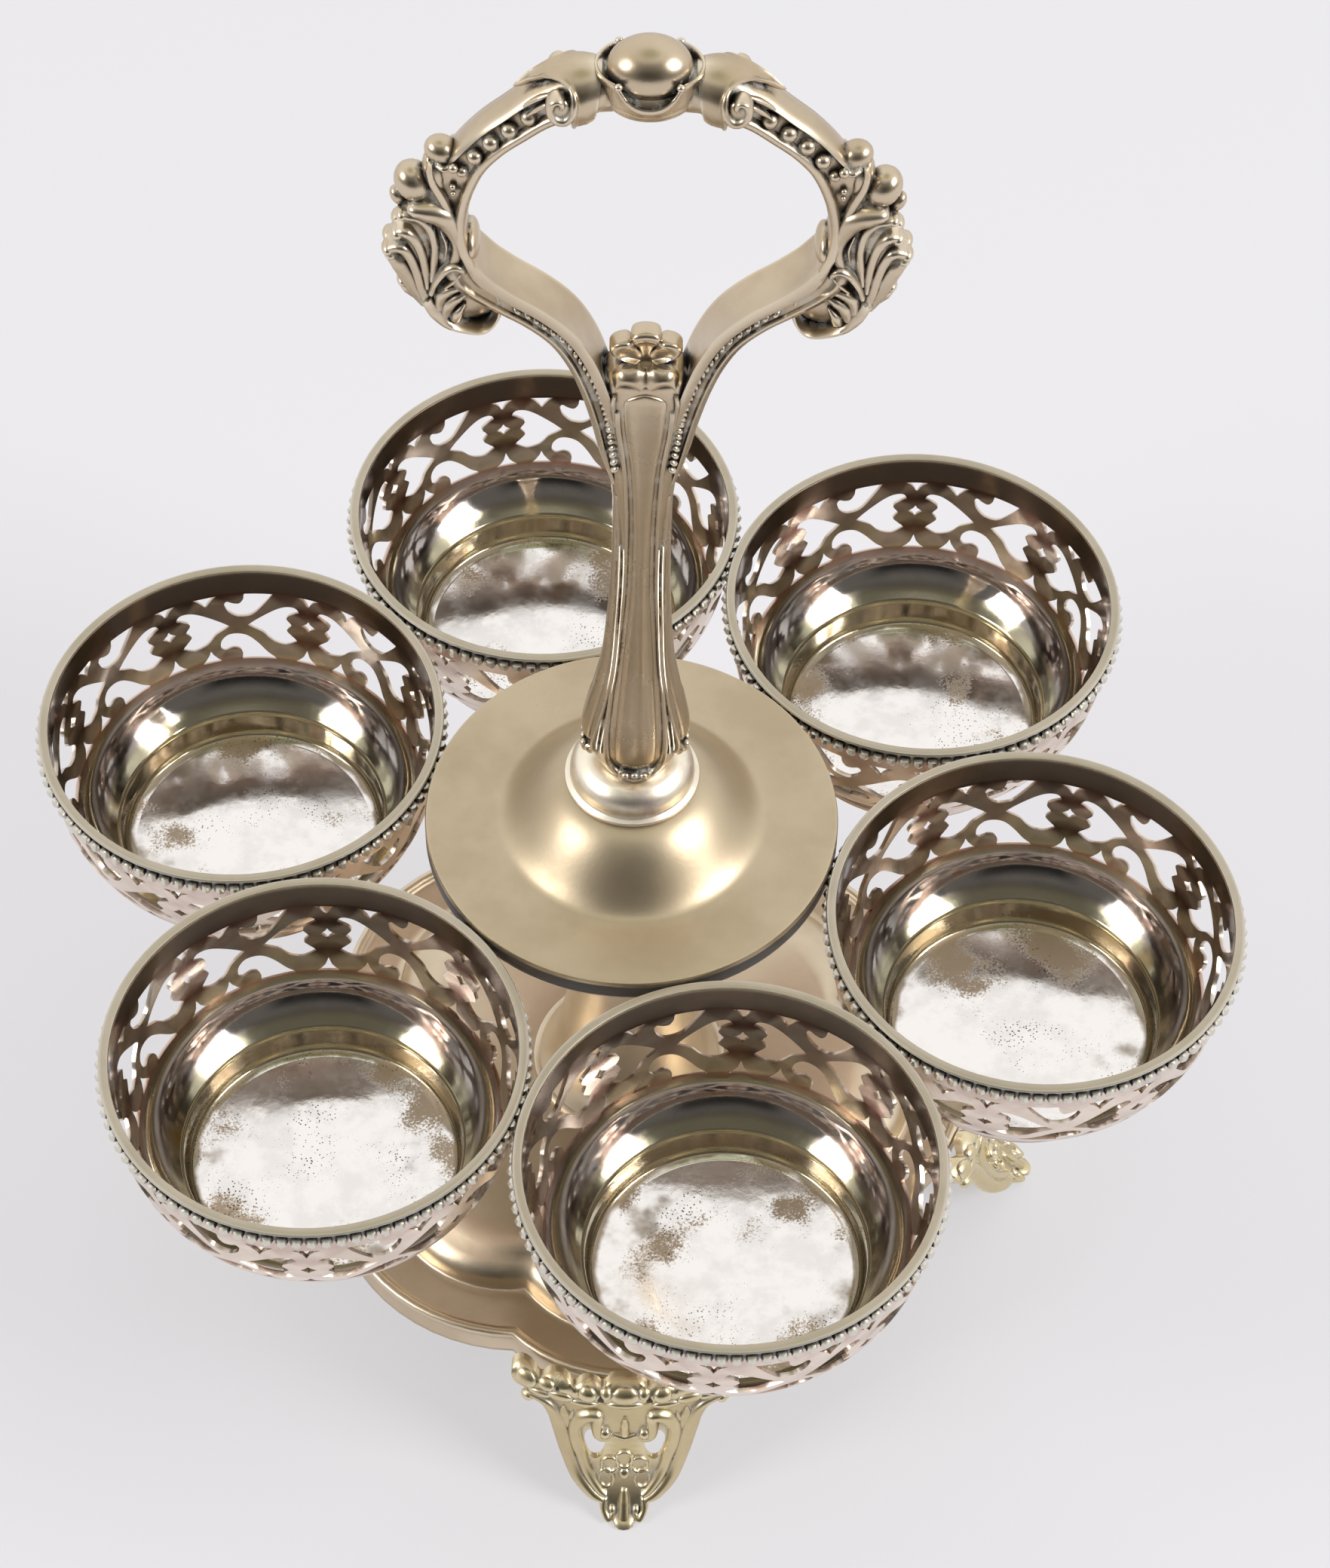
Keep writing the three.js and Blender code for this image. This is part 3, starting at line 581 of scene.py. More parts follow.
@dataclass(frozen=True)
class WearKit:
    """Node groups that the worn finishes share."""

    clouds: NodeTree
    hollows: NodeTree
    rubbed: NodeTree
    specks: NodeTree
    grain: NodeTree
    zone: NodeTree
    stain: NodeTree
    turned: NodeTree

    @classmethod
    def build(cls) -> "WearKit":
        """Makes each group once."""
        return cls(cls.cloud_group(), cls.hollow_group(), cls.rubbed_group(), cls.speck_group(),
                   cls.grain_group(), cls.zone_group(), cls.stain_group(), cls.turned_group())

    @staticmethod
    def cloud_group() -> NodeTree:
        """Soft patches of tarnish."""
        usual = {"Scale": 60, "Start": 0.5, "Softness": 0.1, "Shift": 0}
        graph, given, result = new_group("cloudy_tarnish", usual)
        moved = graph.add("ShaderNodeVectorMath", {0: graph.place(), 1: given["Shift"]}, operation="ADD")
        noise = graph.noise(moved.outputs[0], given["Scale"], 5.0, 0.6)
        graph.feed(result, graph.around(noise, given["Start"], given["Softness"]))
        return graph.tree

    @staticmethod
    def hollow_group() -> NodeTree:
        """Grooves and corners that a cloth doesn't reach."""
        usual = {"Reach": 0.001, "Start": 0.3, "Softness": 0.15, "Breakup": 0.2, "Scale": 400}
        graph, given, result = new_group("grime_in_hollows", usual)
        sky = graph.add("ShaderNodeAmbientOcclusion", {"Distance": given["Reach"]}, samples=6,
                        only_local=True)
        closed = graph.math("SUBTRACT", 1.0, sky.outputs["AO"])
        shake = graph.swing(graph.noise(graph.place(), given["Scale"], 4.0), given["Breakup"])
        value = graph.math("ADD", closed, shake)
        graph.feed(result, graph.around(value, given["Start"], given["Softness"]))
        return graph.tree

    @staticmethod
    def rubbed_group() -> NodeTree:
        """Edges and high spots where the plate is rubbed."""
        graph, given, result = new_group("rubbed_edges", {"Low": 0.52, "High": 0.6})
        edges = graph.add("ShaderNodeNewGeometry").outputs["Pointiness"]
        graph.feed(result, graph.step(edges, given["Low"], given["High"]))
        return graph.tree

    @staticmethod
    def speck_group() -> NodeTree:
        """Small pits and spots, strewn unevenly."""
        graph, given, result = new_group("small_pits", {"Scale": 2500, "Share": 0.3, "Drift": 40})
        where = graph.place()
        cells = graph.add("ShaderNodeTexVoronoi", {"Vector": where, "Scale": given["Scale"]})
        drift = graph.step(graph.noise(where, given["Drift"], 3.0), 0.35, 0.75)
        limit = graph.math("MULTIPLY", drift, given["Share"])
        near = graph.math("SUBTRACT", limit, cells.outputs["Distance"])
        graph.feed(result, graph.step(near, 0.0, 0.12))
        return graph.tree

    @staticmethod
    def grain_group() -> NodeTree:
        """Height of a cast or satin skin."""
        graph, given, result = new_group("metal_grain", {"Scale": 1500, "Coarse": 250}, "Height")
        where = graph.place()
        fine = graph.math("MULTIPLY", graph.noise(where, given["Scale"], 3.0), 0.4)
        graph.feed(result, graph.math("ADD", fine, graph.noise(where, given["Coarse"], 2.0)))
        return graph.tree

    @staticmethod
    def zone_group() -> NodeTree:
        """Band between two levels, in millimetres, with uneven edges."""
        usual = {"Low": 0, "High": 100, "Softness": 0.3, "Uneven": 0.5, "Scale": 150}
        graph, given, result = new_group("band_of_height", usual)
        where = graph.place()
        height = graph.add("ShaderNodeSeparateXYZ", {0: where}).outputs["Z"]
        shake = graph.swing(graph.noise(where, given["Scale"], 3.0), given["Uneven"])
        level = graph.math("ADD", graph.math("DIVIDE", height, MM), shake)
        low, high = (graph.around(level, given[name], given["Softness"]) for name in ("Low", "High"))
        graph.feed(result, graph.math("SUBTRACT", low, high, clamp=True))
        return graph.tree

    @staticmethod
    def stain_group() -> NodeTree:
        """Patches of tarnish whose edges break up into fine spots."""
        usual = {"Scale": 80, "Fine": 2600, "Start": 0.6, "Softness": 0.05, "Ragged": 0.3}
        graph, given, result = new_group("speckled_stain", usual)
        where = graph.place()
        shake = graph.swing(graph.noise(where, given["Fine"], 2.0, 0.7), given["Ragged"])
        value = graph.math("ADD", graph.noise(where, given["Scale"], 3.0), shake)
        graph.feed(result, graph.around(value, given["Start"], given["Softness"]))
        return graph.tree

    @staticmethod
    def turned_group() -> NodeTree:
        """Height of the fine rings that a lathe leaves, which follow the mesh's own reach value."""
        graph, given, result = new_group("turned_rings", {"Scale": 9.0}, "Height")
        reach = graph.math("MULTIPLY", graph.named("reach"), given["Scale"])
        rings = graph.add("ShaderNodeTexNoise", {"W": reach, "Scale": 1.0, "Detail": 2.0},
                          noise_dimensions="1D")
        graph.feed(result, rings.outputs["Fac"])
        return graph.tree


@dataclass(frozen=True)
class Zone:
    """Band of height with a colour of its own.

    Attributes:
        low: lower edge in millimetres.
        high: upper edge in millimetres.
        colour: its colour.
        roughness: its roughness.
        softness: half width of its edges.
        metallic: how far it is bare metal.
        strength: how much of it shows.
    """

    low: float
    high: float
    colour: Colour
    roughness: float
    softness: float = 0.3
    metallic: float = 1.0
    strength: float = 1.0

    def mask(self, graph: Graph, kit: WearKit) -> Socket:
        """Adds the zone's mask to a material."""
        group = graph.group(kit.zone, {"Low": self.low, "High": self.high, "Softness": self.softness})
        return graph.math("MULTIPLY", group, self.strength)


@dataclass(frozen=True)
class CupFinish:
    """Looks of a pierced cup: coppery fret, dark polished belly, a lower wall tinted olive as a painted
    reflection of greenish surroundings, and a stained mirror floor.
    """

    outer: Colour = (0.84, 0.72, 0.64)
    outer_cloud: Colour = (0.60, 0.47, 0.40)
    inner: Colour = (0.18, 0.09, 0.064)
    inner_cloud: Colour = (0.09, 0.058, 0.042)
    edge: Colour = (0.95, 0.86, 0.74)
    stain: Colour = (0.40, 0.30, 0.20)
    pit: Colour = (0.07, 0.05, 0.035)
    floor_level: float = 69.5
    zones: tuple[Zone, ...] = (
        Zone(94.2, 99.4, (0.20, 0.15, 0.115), 0.14),
        Zone(80.2, 81.6, (0.46, 0.29, 0.23), 0.14, softness=0.5, strength=0.8),
        Zone(75.6, 80.2, (0.56, 0.51, 0.48), 0.06, softness=1.0),
        # Lower wall and floor rim: darker than the floor and tinted olive, a painted reflection of greenish
        # surroundings.
        Zone(69.4, 75.6, (0.56, 0.51, 0.36), 0.1, softness=0.6),
        Zone(68.0, 69.25, (0.92, 0.88, 0.85), 0.07, softness=0.06),
    )

    def build(self, kit: WearKit) -> Material:
        """Makes the material.

        Args:
            kit: the shared node groups.

        Returns:
            The material.
        """
        material, graph, shader = new_material("cup_silver")
        inside = graph.named("inside")
        clouds = graph.group(kit.clouds, {"Scale": 90, "Start": 0.5, "Softness": 0.16})
        blotches = graph.group(kit.clouds, {"Scale": 210, "Start": 0.52, "Softness": 0.12, "Shift": 0.2})
        colour = graph.blend(clouds, self.inner, self.inner_cloud)
        rough = 0.2
        for zone in self.zones:
            mask = zone.mask(graph, kit)
            tinted = graph.blend(graph.math("MULTIPLY", blotches, 0.35), zone.colour,
                                 tuple(c * 0.72 for c in zone.colour))
            colour = graph.blend(mask, colour, tinted)
            rough = graph.step(mask, 0.0, 1.0, rough, zone.roughness)
        floor = graph.group(kit.zone, {"Low": 60, "High": self.floor_level, "Softness": 0.1, "Uneven": 0.0})
        start = graph.step(graph.named("reach"), 7.0, 20.0, 0.69, 0.54)
        patches = graph.group(kit.stain, {"Scale": 85, "Start": start, "Softness": 0.05, "Ragged": 0.36})
        pits = graph.group(kit.specks, {"Scale": 1900, "Share": 0.36, "Drift": 90})
        stained = graph.math("MULTIPLY", patches, floor)
        colour = graph.blend(graph.math("MULTIPLY", stained, 0.9), colour, self.stain)
        dots = graph.math("MULTIPLY", pits, graph.math("ADD", graph.math("MULTIPLY", floor, 0.75), 0.15))
        colour = graph.blend(dots, colour, self.pit)
        outer = graph.blend(clouds, self.outer, self.outer_cloud)
        colour = graph.blend(inside, outer, colour)
        rubbed = graph.group(kit.rubbed, {"Low": 0.55, "High": 0.64})
        colour = graph.blend(graph.math("MULTIPLY", rubbed, 0.5), colour, self.edge)
        graph.feed(shader.inputs["Base Color"], colour)
        shader.inputs["Metallic"].default_value = 1.0
        rough = graph.math("ADD", rough, graph.math("MULTIPLY", stained, 0.28))
        rough = graph.math("ADD", rough, graph.math("MULTIPLY", blotches, 0.05))
        graph.feed(shader.inputs["Roughness"], graph.step(inside, 0.0, 1.0, 0.26, rough))
        grain = graph.group(kit.grain, {"Scale": 900, "Coarse": 160})
        graph.feed(shader.inputs["Normal"], graph.bump(grain, 0.012))
        return material


@dataclass(frozen=True)
class PlateFinish:
    """Looks of one worn metal skin."""

    name: str
    metal: Colour
    cloud: Colour
    grime: Colour
    rubbed: Colour
    residue: Colour = (0.62, 0.6, 0.55)
    cloud_scale: float = 70
    cloud_start: float = 0.52
    cloud_softness: float = 0.18
    grime_reach: float = 1.2
    grime_start: float = 0.42
    residue_share: float = 0.0
    speck_share: float = 0.0
    roughness: float = 0.3
    cloud_roughness: float = 0.4
    grain_height: float = 0.02
    grain_scale: float = 1500
    ring_height: float = 0.0
    zones: tuple[Zone, ...] = ()

    def build(self, kit: WearKit) -> Material:
        """Makes the material.

        Args:
            kit: the shared node groups.

        Returns:
            The material.
        """
        material, graph, shader = new_material(self.name)
        clouds = graph.group(kit.clouds, {"Scale": self.cloud_scale, "Start": self.cloud_start,
                                          "Softness": self.cloud_softness})
        dirt = graph.group(kit.hollows, {"Reach": self.grime_reach * MM, "Start": self.grime_start})
        colour = graph.blend(clouds, self.metal, self.cloud)
        colour = graph.blend(graph.group(kit.rubbed, {}), colour, self.rubbed)
        rough = graph.step(clouds, 0.0, 1.0, self.roughness, self.cloud_roughness)
        metallic = 1.0
        for zone in self.zones:
            mask = zone.mask(graph, kit)
            colour = graph.blend(mask, colour, zone.colour)
            rough = graph.step(mask, 0.0, 1.0, rough, zone.roughness)
            metallic = graph.step(mask, 0.0, 1.0, metallic, zone.metallic)
        colour = graph.blend(dirt, colour, self.grime)
        if self.speck_share > 0:
            specks = graph.group(kit.specks, {"Share": self.speck_share})
            colour = graph.blend(graph.math("MULTIPLY", specks, 0.6), colour, self.grime)
        if self.residue_share > 0:
            chalk = graph.group(kit.clouds, {"Scale": 420, "Start": 1 - self.residue_share, "Softness": 0.06,
                                             "Shift": 0.3})
            near = graph.group(kit.hollows, {"Reach": self.grime_reach * 1.6 * MM,
                                             "Start": self.grime_start - 0.06, "Breakup": 0.5})
            colour = graph.blend(graph.math("MULTIPLY", chalk, near), colour, self.residue)
        graph.feed(shader.inputs["Base Color"], colour)
        bare = graph.step(dirt, 0.2, 1.0, 1.0, 0.25)
        graph.feed(shader.inputs["Metallic"], graph.math("MULTIPLY", metallic, bare))
        rough = graph.math("ADD", rough, graph.math("MULTIPLY", dirt, 0.3), clamp=True)
        graph.feed(shader.inputs["Roughness"], rough)
        height = graph.group(kit.grain, {"Scale": self.grain_scale})
        normal = graph.bump(height, self.grain_height)
        if self.ring_height > 0:
            normal = graph.bump(graph.group(kit.turned, {}), self.ring_height, normal)
        graph.feed(shader.inputs["Normal"], normal)
        return material


# Carousel


@dataclass
class Cup:
    """One pierced cup: the bowl with its lip and its row of beads."""

    number: int
    azimuth: float
    pattern_turn: float
    ring_radius: float = 62.5
    rim_level: float = 99.2
    wall: float = 0.65
    steps: int = 96
    repeats: int = 8
    bead_count: int = 92
    bead_radius: float = 0.93
    bead_ring: float = 30.75
    bead_drop: float = 2.25
    hole_growth: float = 0.14
    band_low: float = -0.12
    band_high: float = 1.12
    inner_profile: tuple = ((0.5, 29.5), (2.0, 29.5), (5.5, 29.45), (8.5, 29.2), (12.0, 28.8), (15.3, 27.9),
                            (18.3, 26.7), (20.5, 25.6), (22.5, 24.0), (24.2, 22.2), (24.9, 21.3))
    floor_profile: tuple = ((21.0, 25.15), (20.75, 25.9), (20.4, 28.6), (20.2, 29.4), (19.7, 29.85),
                            (18.6, 30.0), (12, 30.08), (6, 30.12), (0, 30.15))

    @property
    def centre(self) -> Vector:
        """Middle of the cup in plan."""
        return turned_about(self.azimuth, (self.ring_radius, 0, 0))

    def radius_at(self, drop: float) -> float:
        """Inner radius at a drop below the rim."""
        return table_value(self.inner_profile, drop)

    def wall_profile(self, start: float, end: float, steps: int) -> list[tuple[float, float]]:
        """Radii and drops down the inner wall, between two drops below the rim."""
        drops = [lerp(start, end, k / steps) for k in range(steps + 1)]
        return [(self.radius_at(drop), drop) for drop in drops]

    @staticmethod
    def band_drop(share: float) -> float:
        """Drop below the rim at a share of the pierced band's height, which is 0 at its foot."""
        return 18.29 - 9.99 * share - 2.81 * share * share

    def lip(self) -> bpy.types.Object:
        """Makes the flat lip and the beads under it."""
        casting = Casting(f"cup_{self.number}_beaded_lip")
        profile = [
            (29.52, 0.35), (29.6, 0.1), (29.8, 0.0), (30.5, 0.0), (30.85, 0.1), (31.0, 0.35), (30.9, 0.6),
            (30.4, 0.75), (30.3, 0.95), (30.3, 3.0), (30.22, 3.1), (30.22, 0.8), (29.55, 0.7)]
        casting.lathe([(r, self.rim_level - drop) for r, drop in profile], self.steps, self.centre,
                      self.pattern_turn)
        for i in range(self.bead_count):
            spot = turned_about(self.pattern_turn + (i + 0.5) * 360 / self.bead_count, (self.bead_ring, 0, 0))
            casting.ball((self.centre.x + spot.x, self.centre.y + spot.y, self.rim_level - self.bead_drop),
                         [self.bead_radius] * 3, segments=8)
        reach = casting.bm.verts.layers.float.new("reach")
        for vert in casting.bm.verts:
            vert[reach] = (vert.co.xy - self.centre.xy).length
        return casting.to_object()

    def bowl(self) -> bpy.types.Object:
        """Makes the bowl with its eight hearts, scrolls and diamonds cut through."""
        casting = Casting(f"cup_{self.number}_pierced_bowl")
        bm = casting.bm
        self.fret(casting)
        (lip_drop, _), (foot_drop, _) = self.inner_profile[0], self.inner_profile[-1]
        strip = self.wall_profile(lip_drop, self.band_drop(self.band_high), 3)
        belly = self.wall_profile(self.band_drop(self.band_low), foot_drop, 10)
        for part in (strip, belly + list(self.floor_profile)):
            casting.lathe([(r, self.rim_level - drop) for r, drop in part], self.steps, self.centre,
                          self.pattern_turn, closed=False)
        bmesh.ops.remove_doubles(bm, verts=bm.verts, dist=0.02)
        bmesh.ops.recalc_face_normals(bm, faces=bm.faces)
        bm.faces.ensure_lookup_table()
        lowest = min(bm.faces, key=lambda face: face.calc_center_median().z)
        if lowest.normal.z < 0:
            bmesh.ops.reverse_faces(bm, faces=bm.faces)
        inner = {tuple(round(c, 4) for c in vert.co) for vert in bm.verts}
        bmesh.ops.solidify(bm, geom=bm.faces[:], thickness=self.wall)
        inside = bm.verts.layers.float.new("inside")
        reach = bm.verts.layers.float.new("reach")
        for vert in bm.verts:
            vert[inside] = 1.0 if tuple(round(c, 4) for c in vert.co) in inner else 0.0
            vert[reach] = (vert.co.xy - self.centre.xy).length
        return casting.to_object(crease=50)

    def fret(self, casting: Casting) -> None:
        """Cuts one repeat of the band flat, bends it to the bowl and spins it round."""
        bm = casting.bm
        for outline in self.fret_outlines():
            verts = [bm.verts.new((u, v, 0)) for u, v in outline]
            for pair in zip(verts, verts[1:] + verts[:1]):
                bm.edges.new(pair)
        bmesh.ops.triangle_fill(bm, use_beauty=True, use_dissolve=False, edges=bm.edges[:], normal=(0, 0, 1))
        width = FULL_TURN / self.repeats
        for vert in bm.verts:
            u, v = vert.co.x, vert.co.y
            drop = self.band_drop(v)
            spot = turned_about(self.pattern_turn - math.degrees(width) * u, (self.radius_at(drop), 0, 0))
            vert.co = self.centre + Vector((spot.x, spot.y, self.rim_level - drop))
        bmesh.ops.spin(bm, geom=bm.faces[:], cent=self.centre, axis=(0, 0, 1), dvec=(0, 0, 0),
                       angle=FULL_TURN - width, steps=self.repeats - 1, use_duplicate=True)

    def fret_outlines(self) -> list[list[Vector]]:
        """Outlines of one repeat: its border first, then its holes, across and up from 0 to 1."""
        heart = [(.07, .77), (.10, .82), (.16, .815), (.22, .77), (.29, .69), (.43, .515), (.33, .42),
                 (.285, .335), (.235, .275), (.165, .255), (.085, .32), (.13, .385), (.165, .46),
                 (.128, .545), (.165, .63), (.145, .70)]
        upper_scroll = [(.42, .86), (.44, .76), (.49, .68), (.54, .665), (.60, .69), (.66, .80), (.75, 1),
                        (.56, 1), (.555, .92), (.52, .85), (.47, .86), (.435, .89)]
        lower_scroll = [
            (.36, .21), (.37, .30), (.41, .37), (.46, .39), (.52, .375), (.57, .33), (.63, .23), (.70, .09),
            (.77, 0), (.51, 0), (.52, .09), (.50, .17), (.455, .20), (.42, .19), (.385, .175)]
        holes = [(heart, (0, 5, 10, 13)), (upper_scroll, (0, 6, 7)), (lower_scroll, (0, 8, 9))]
        outlines = [self.fret_border()]
        outlines += [smooth_curve(points, 3, corners, closed=True) for points, corners in holes]
        outlines = outlines[:1] + [self.widened(outline) for outline in outlines[1:]]
        outlines.append([Vector((1 - p.x, p.y)) for p in outlines[1]])
        outlines.append(self.notch(.285, .085, 1, .84))
        outlines.append(self.notch(.277, .08, 0, .18))
        return outlines

    def widened(self, outline: list[Vector]) -> list[Vector]:
        """Moves a hole's outline outwards, but no further than the band's borders.

        Args:
            outline: the hole, in shares of the repeat's width and height.

        Returns:
            The wider outline.
        """
        area = sum(a.x * b.y - b.x * a.y for a, b in zip(outline, outline[1:] + outline[:1]))
        growth = math.copysign(self.hole_growth, area)
        wide, high = 22.0, 12.0
        result = []
        for i, point in enumerate(outline):
            along = outline[(i + 1) % len(outline)] - outline[i - 1]
            away = Vector((along.y * high, -along.x * wide)).normalized() * growth
            if point.y in (0, 1):
                away.y = 0
            result.append(Vector((point.x + away.x / wide, min(max(point.y + away.y / high, 0), 1))))
        return result

    @staticmethod
    def notch(middle: float, half: float, level: float, tip: float) -> list[Vector]:
        """Small hole with a straight edge along the band's border and two hollow sides.

        Args:
            middle: place of its middle across the repeat.
            half: half its width.
            level: height of its straight edge.
            tip: height of its tip.

        Returns:
            Its outline, in shares of the repeat's width and height.
        """
        corners = [Vector((middle - half, level)), Vector((middle + half, level)), Vector((middle, tip))]
        centre = Vector((middle, lerp(level, tip, 0.35)))
        points = [corners[0], corners[1]]
        for k in (1, 2, 3):
            points.append(corners[1].lerp(corners[2], k / 4).lerp(centre, 0.22))
        points.append(corners[2])
        for k in (1, 2, 3):
            points.append(corners[2].lerp(corners[0], k / 4).lerp(centre, 0.22))
        return points

    def fret_border(self) -> list[Vector]:
        """Border of one repeat, with half a diamond and half a notch cut out of either side."""
        across = self.steps // self.repeats
        side = [(0, self.band_low), (0, 0), (.09, 0), (.05, .045), (.022, .1), (0, .2), (0, .34), (0, .48),
                (.014, .52), (.05, .565), (.014, .61), (0, .65), (0, .75), (0, .85), (.02, .925),
                (.045, .97), (.085, 1), (0, 1), (0, self.band_high)]
        left = [Vector(p) for p in side]
        top = [Vector((k / across, self.band_high)) for k in range(1, across)]
        right = [Vector((1 - p.x, p.y)) for p in reversed(left)]
        bottom = [Vector((k / across, self.band_low)) for k in range(across - 1, 0, -1)]
        return left + top + right + bottom

    def build(self, bowl_finish: Material, lip_finish: Material) -> None:
        """Makes both pieces and dresses them."""
        settle(self.bowl(), Body.CAROUSEL, Slot.CUP, bowl_finish, [f"cup_bowl_{self.number}"])
        settle(self.lip(), Body.CAROUSEL, Slot.RIM, lip_finish, [f"cup_rim_{self.number}"])


@dataclass
class Disc:
    """Middle disc with its dome and turned-down edge."""

    level: float = 99.6
    radius: float = 31.1
    edge_drop: float = 3.9
    dome_radius: float = 20.5
    dome_rise: float = 9.6
    bore: float = 8.2
    wall: float = 0.8
    steps: int = 128

    def build(self, finish: Material) -> None:
        """Makes the disc and dresses it."""
        casting = Casting("domed_disc")
        top, foot, edge = self.level, self.level - self.edge_drop, self.radius
        outer = [(edge - 0.45, foot), (edge - 0.1, foot + 0.25), (edge, foot + 0.6), (edge, top - 0.5),
                 (edge - 0.15, top - 0.12), (edge - 0.6, top)]
        dome = []
        for k in range(21):
            share = k / 20
            climb = 0.5 - 0.5 * math.cos(math.pi * share ** 0.8)
            dome.append((lerp(self.dome_radius, self.bore, share), top + self.dome_rise * climb))
        flat = [(lerp(edge - 0.6, self.dome_radius + 1.5, k / 5), top) for k in range(1, 6)]
        upper = outer + flat + dome
        lower = [(r - self.wall, z) if z < top - 0.4 else (r, z - self.wall)
                 for r, z in reversed(upper) if z > top - 0.2 or r < edge]
        casting.lathe(upper + lower, self.steps)
        piece = casting.to_object(crease=35)
        settle(piece, Body.CAROUSEL, Slot.DISC, finish, ["top_disc"])


# Stand


@dataclass
class Collar:
    """Bell-shaped collar between the disc's dome and the pillar."""

    bottom: float = 109.5
    steps: int = 96

    def build(self, finish: Material) -> None:
        """Makes the collar and dresses it."""
        casting = Casting("pillar_collar")
        shape = [(2.2, 0), (9.5, 0), (10, 0.15), (10.1, 0.45), (9.9, 0.7), (9.3, 0.85), (9.15, 1.1),
                 (9.2, 1.9), (9.0, 2.9), (8.5, 3.9), (7.8, 4.6), (7.2, 4.95), (6.9, 5.2), (2.2, 5.2)]
        casting.lathe([(r, self.bottom + z) for r, z in shape], self.steps)
        settle(casting.to_object(crease=60), Body.STAND, Slot.POLISHED, finish, ["handle_collar"])


@dataclass
class Column:
    """Trumpet-shaped column that carries the disc on the tray."""

    neck_top: float = 94.3
    steps: int = 72

    def build(self, finish: Material) -> None:
        """Makes the column and dresses it."""
        low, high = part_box("column")
        casting = Casting("trumpet_column")
        bottom, top = low[2] / MM, self.neck_top
        foot = (high[0] - low[0]) / 2 / MM
        outer = [(foot - 0.3, bottom), (foot, bottom + 0.3), (foot, bottom + 1.1), (foot - 0.6, bottom + 1.5)]
        table = ((1.5, foot - 0.9), (5, 12.6), (18, 10), (38, 7.6), (50, 7.5), (top - bottom, 8.2))
        rises = (1.6, 2.6, 3.8, 5, 7, 9.5, 12, 15, 18, 22, 27, 32, 38, 46, 54, top - bottom)
        outer += [(table_value(table, rise), bottom + rise) for rise in rises]
        inner = [(outer[-1][0] - 3.6, top), (6.4, bottom + 38), (8.8, bottom + 18), (foot - 2.4, bottom)]
        casting.lathe(outer + inner, self.steps)
        settle(casting.to_object(crease=40), Body.STAND, Slot.SATIN, finish, ["column"])


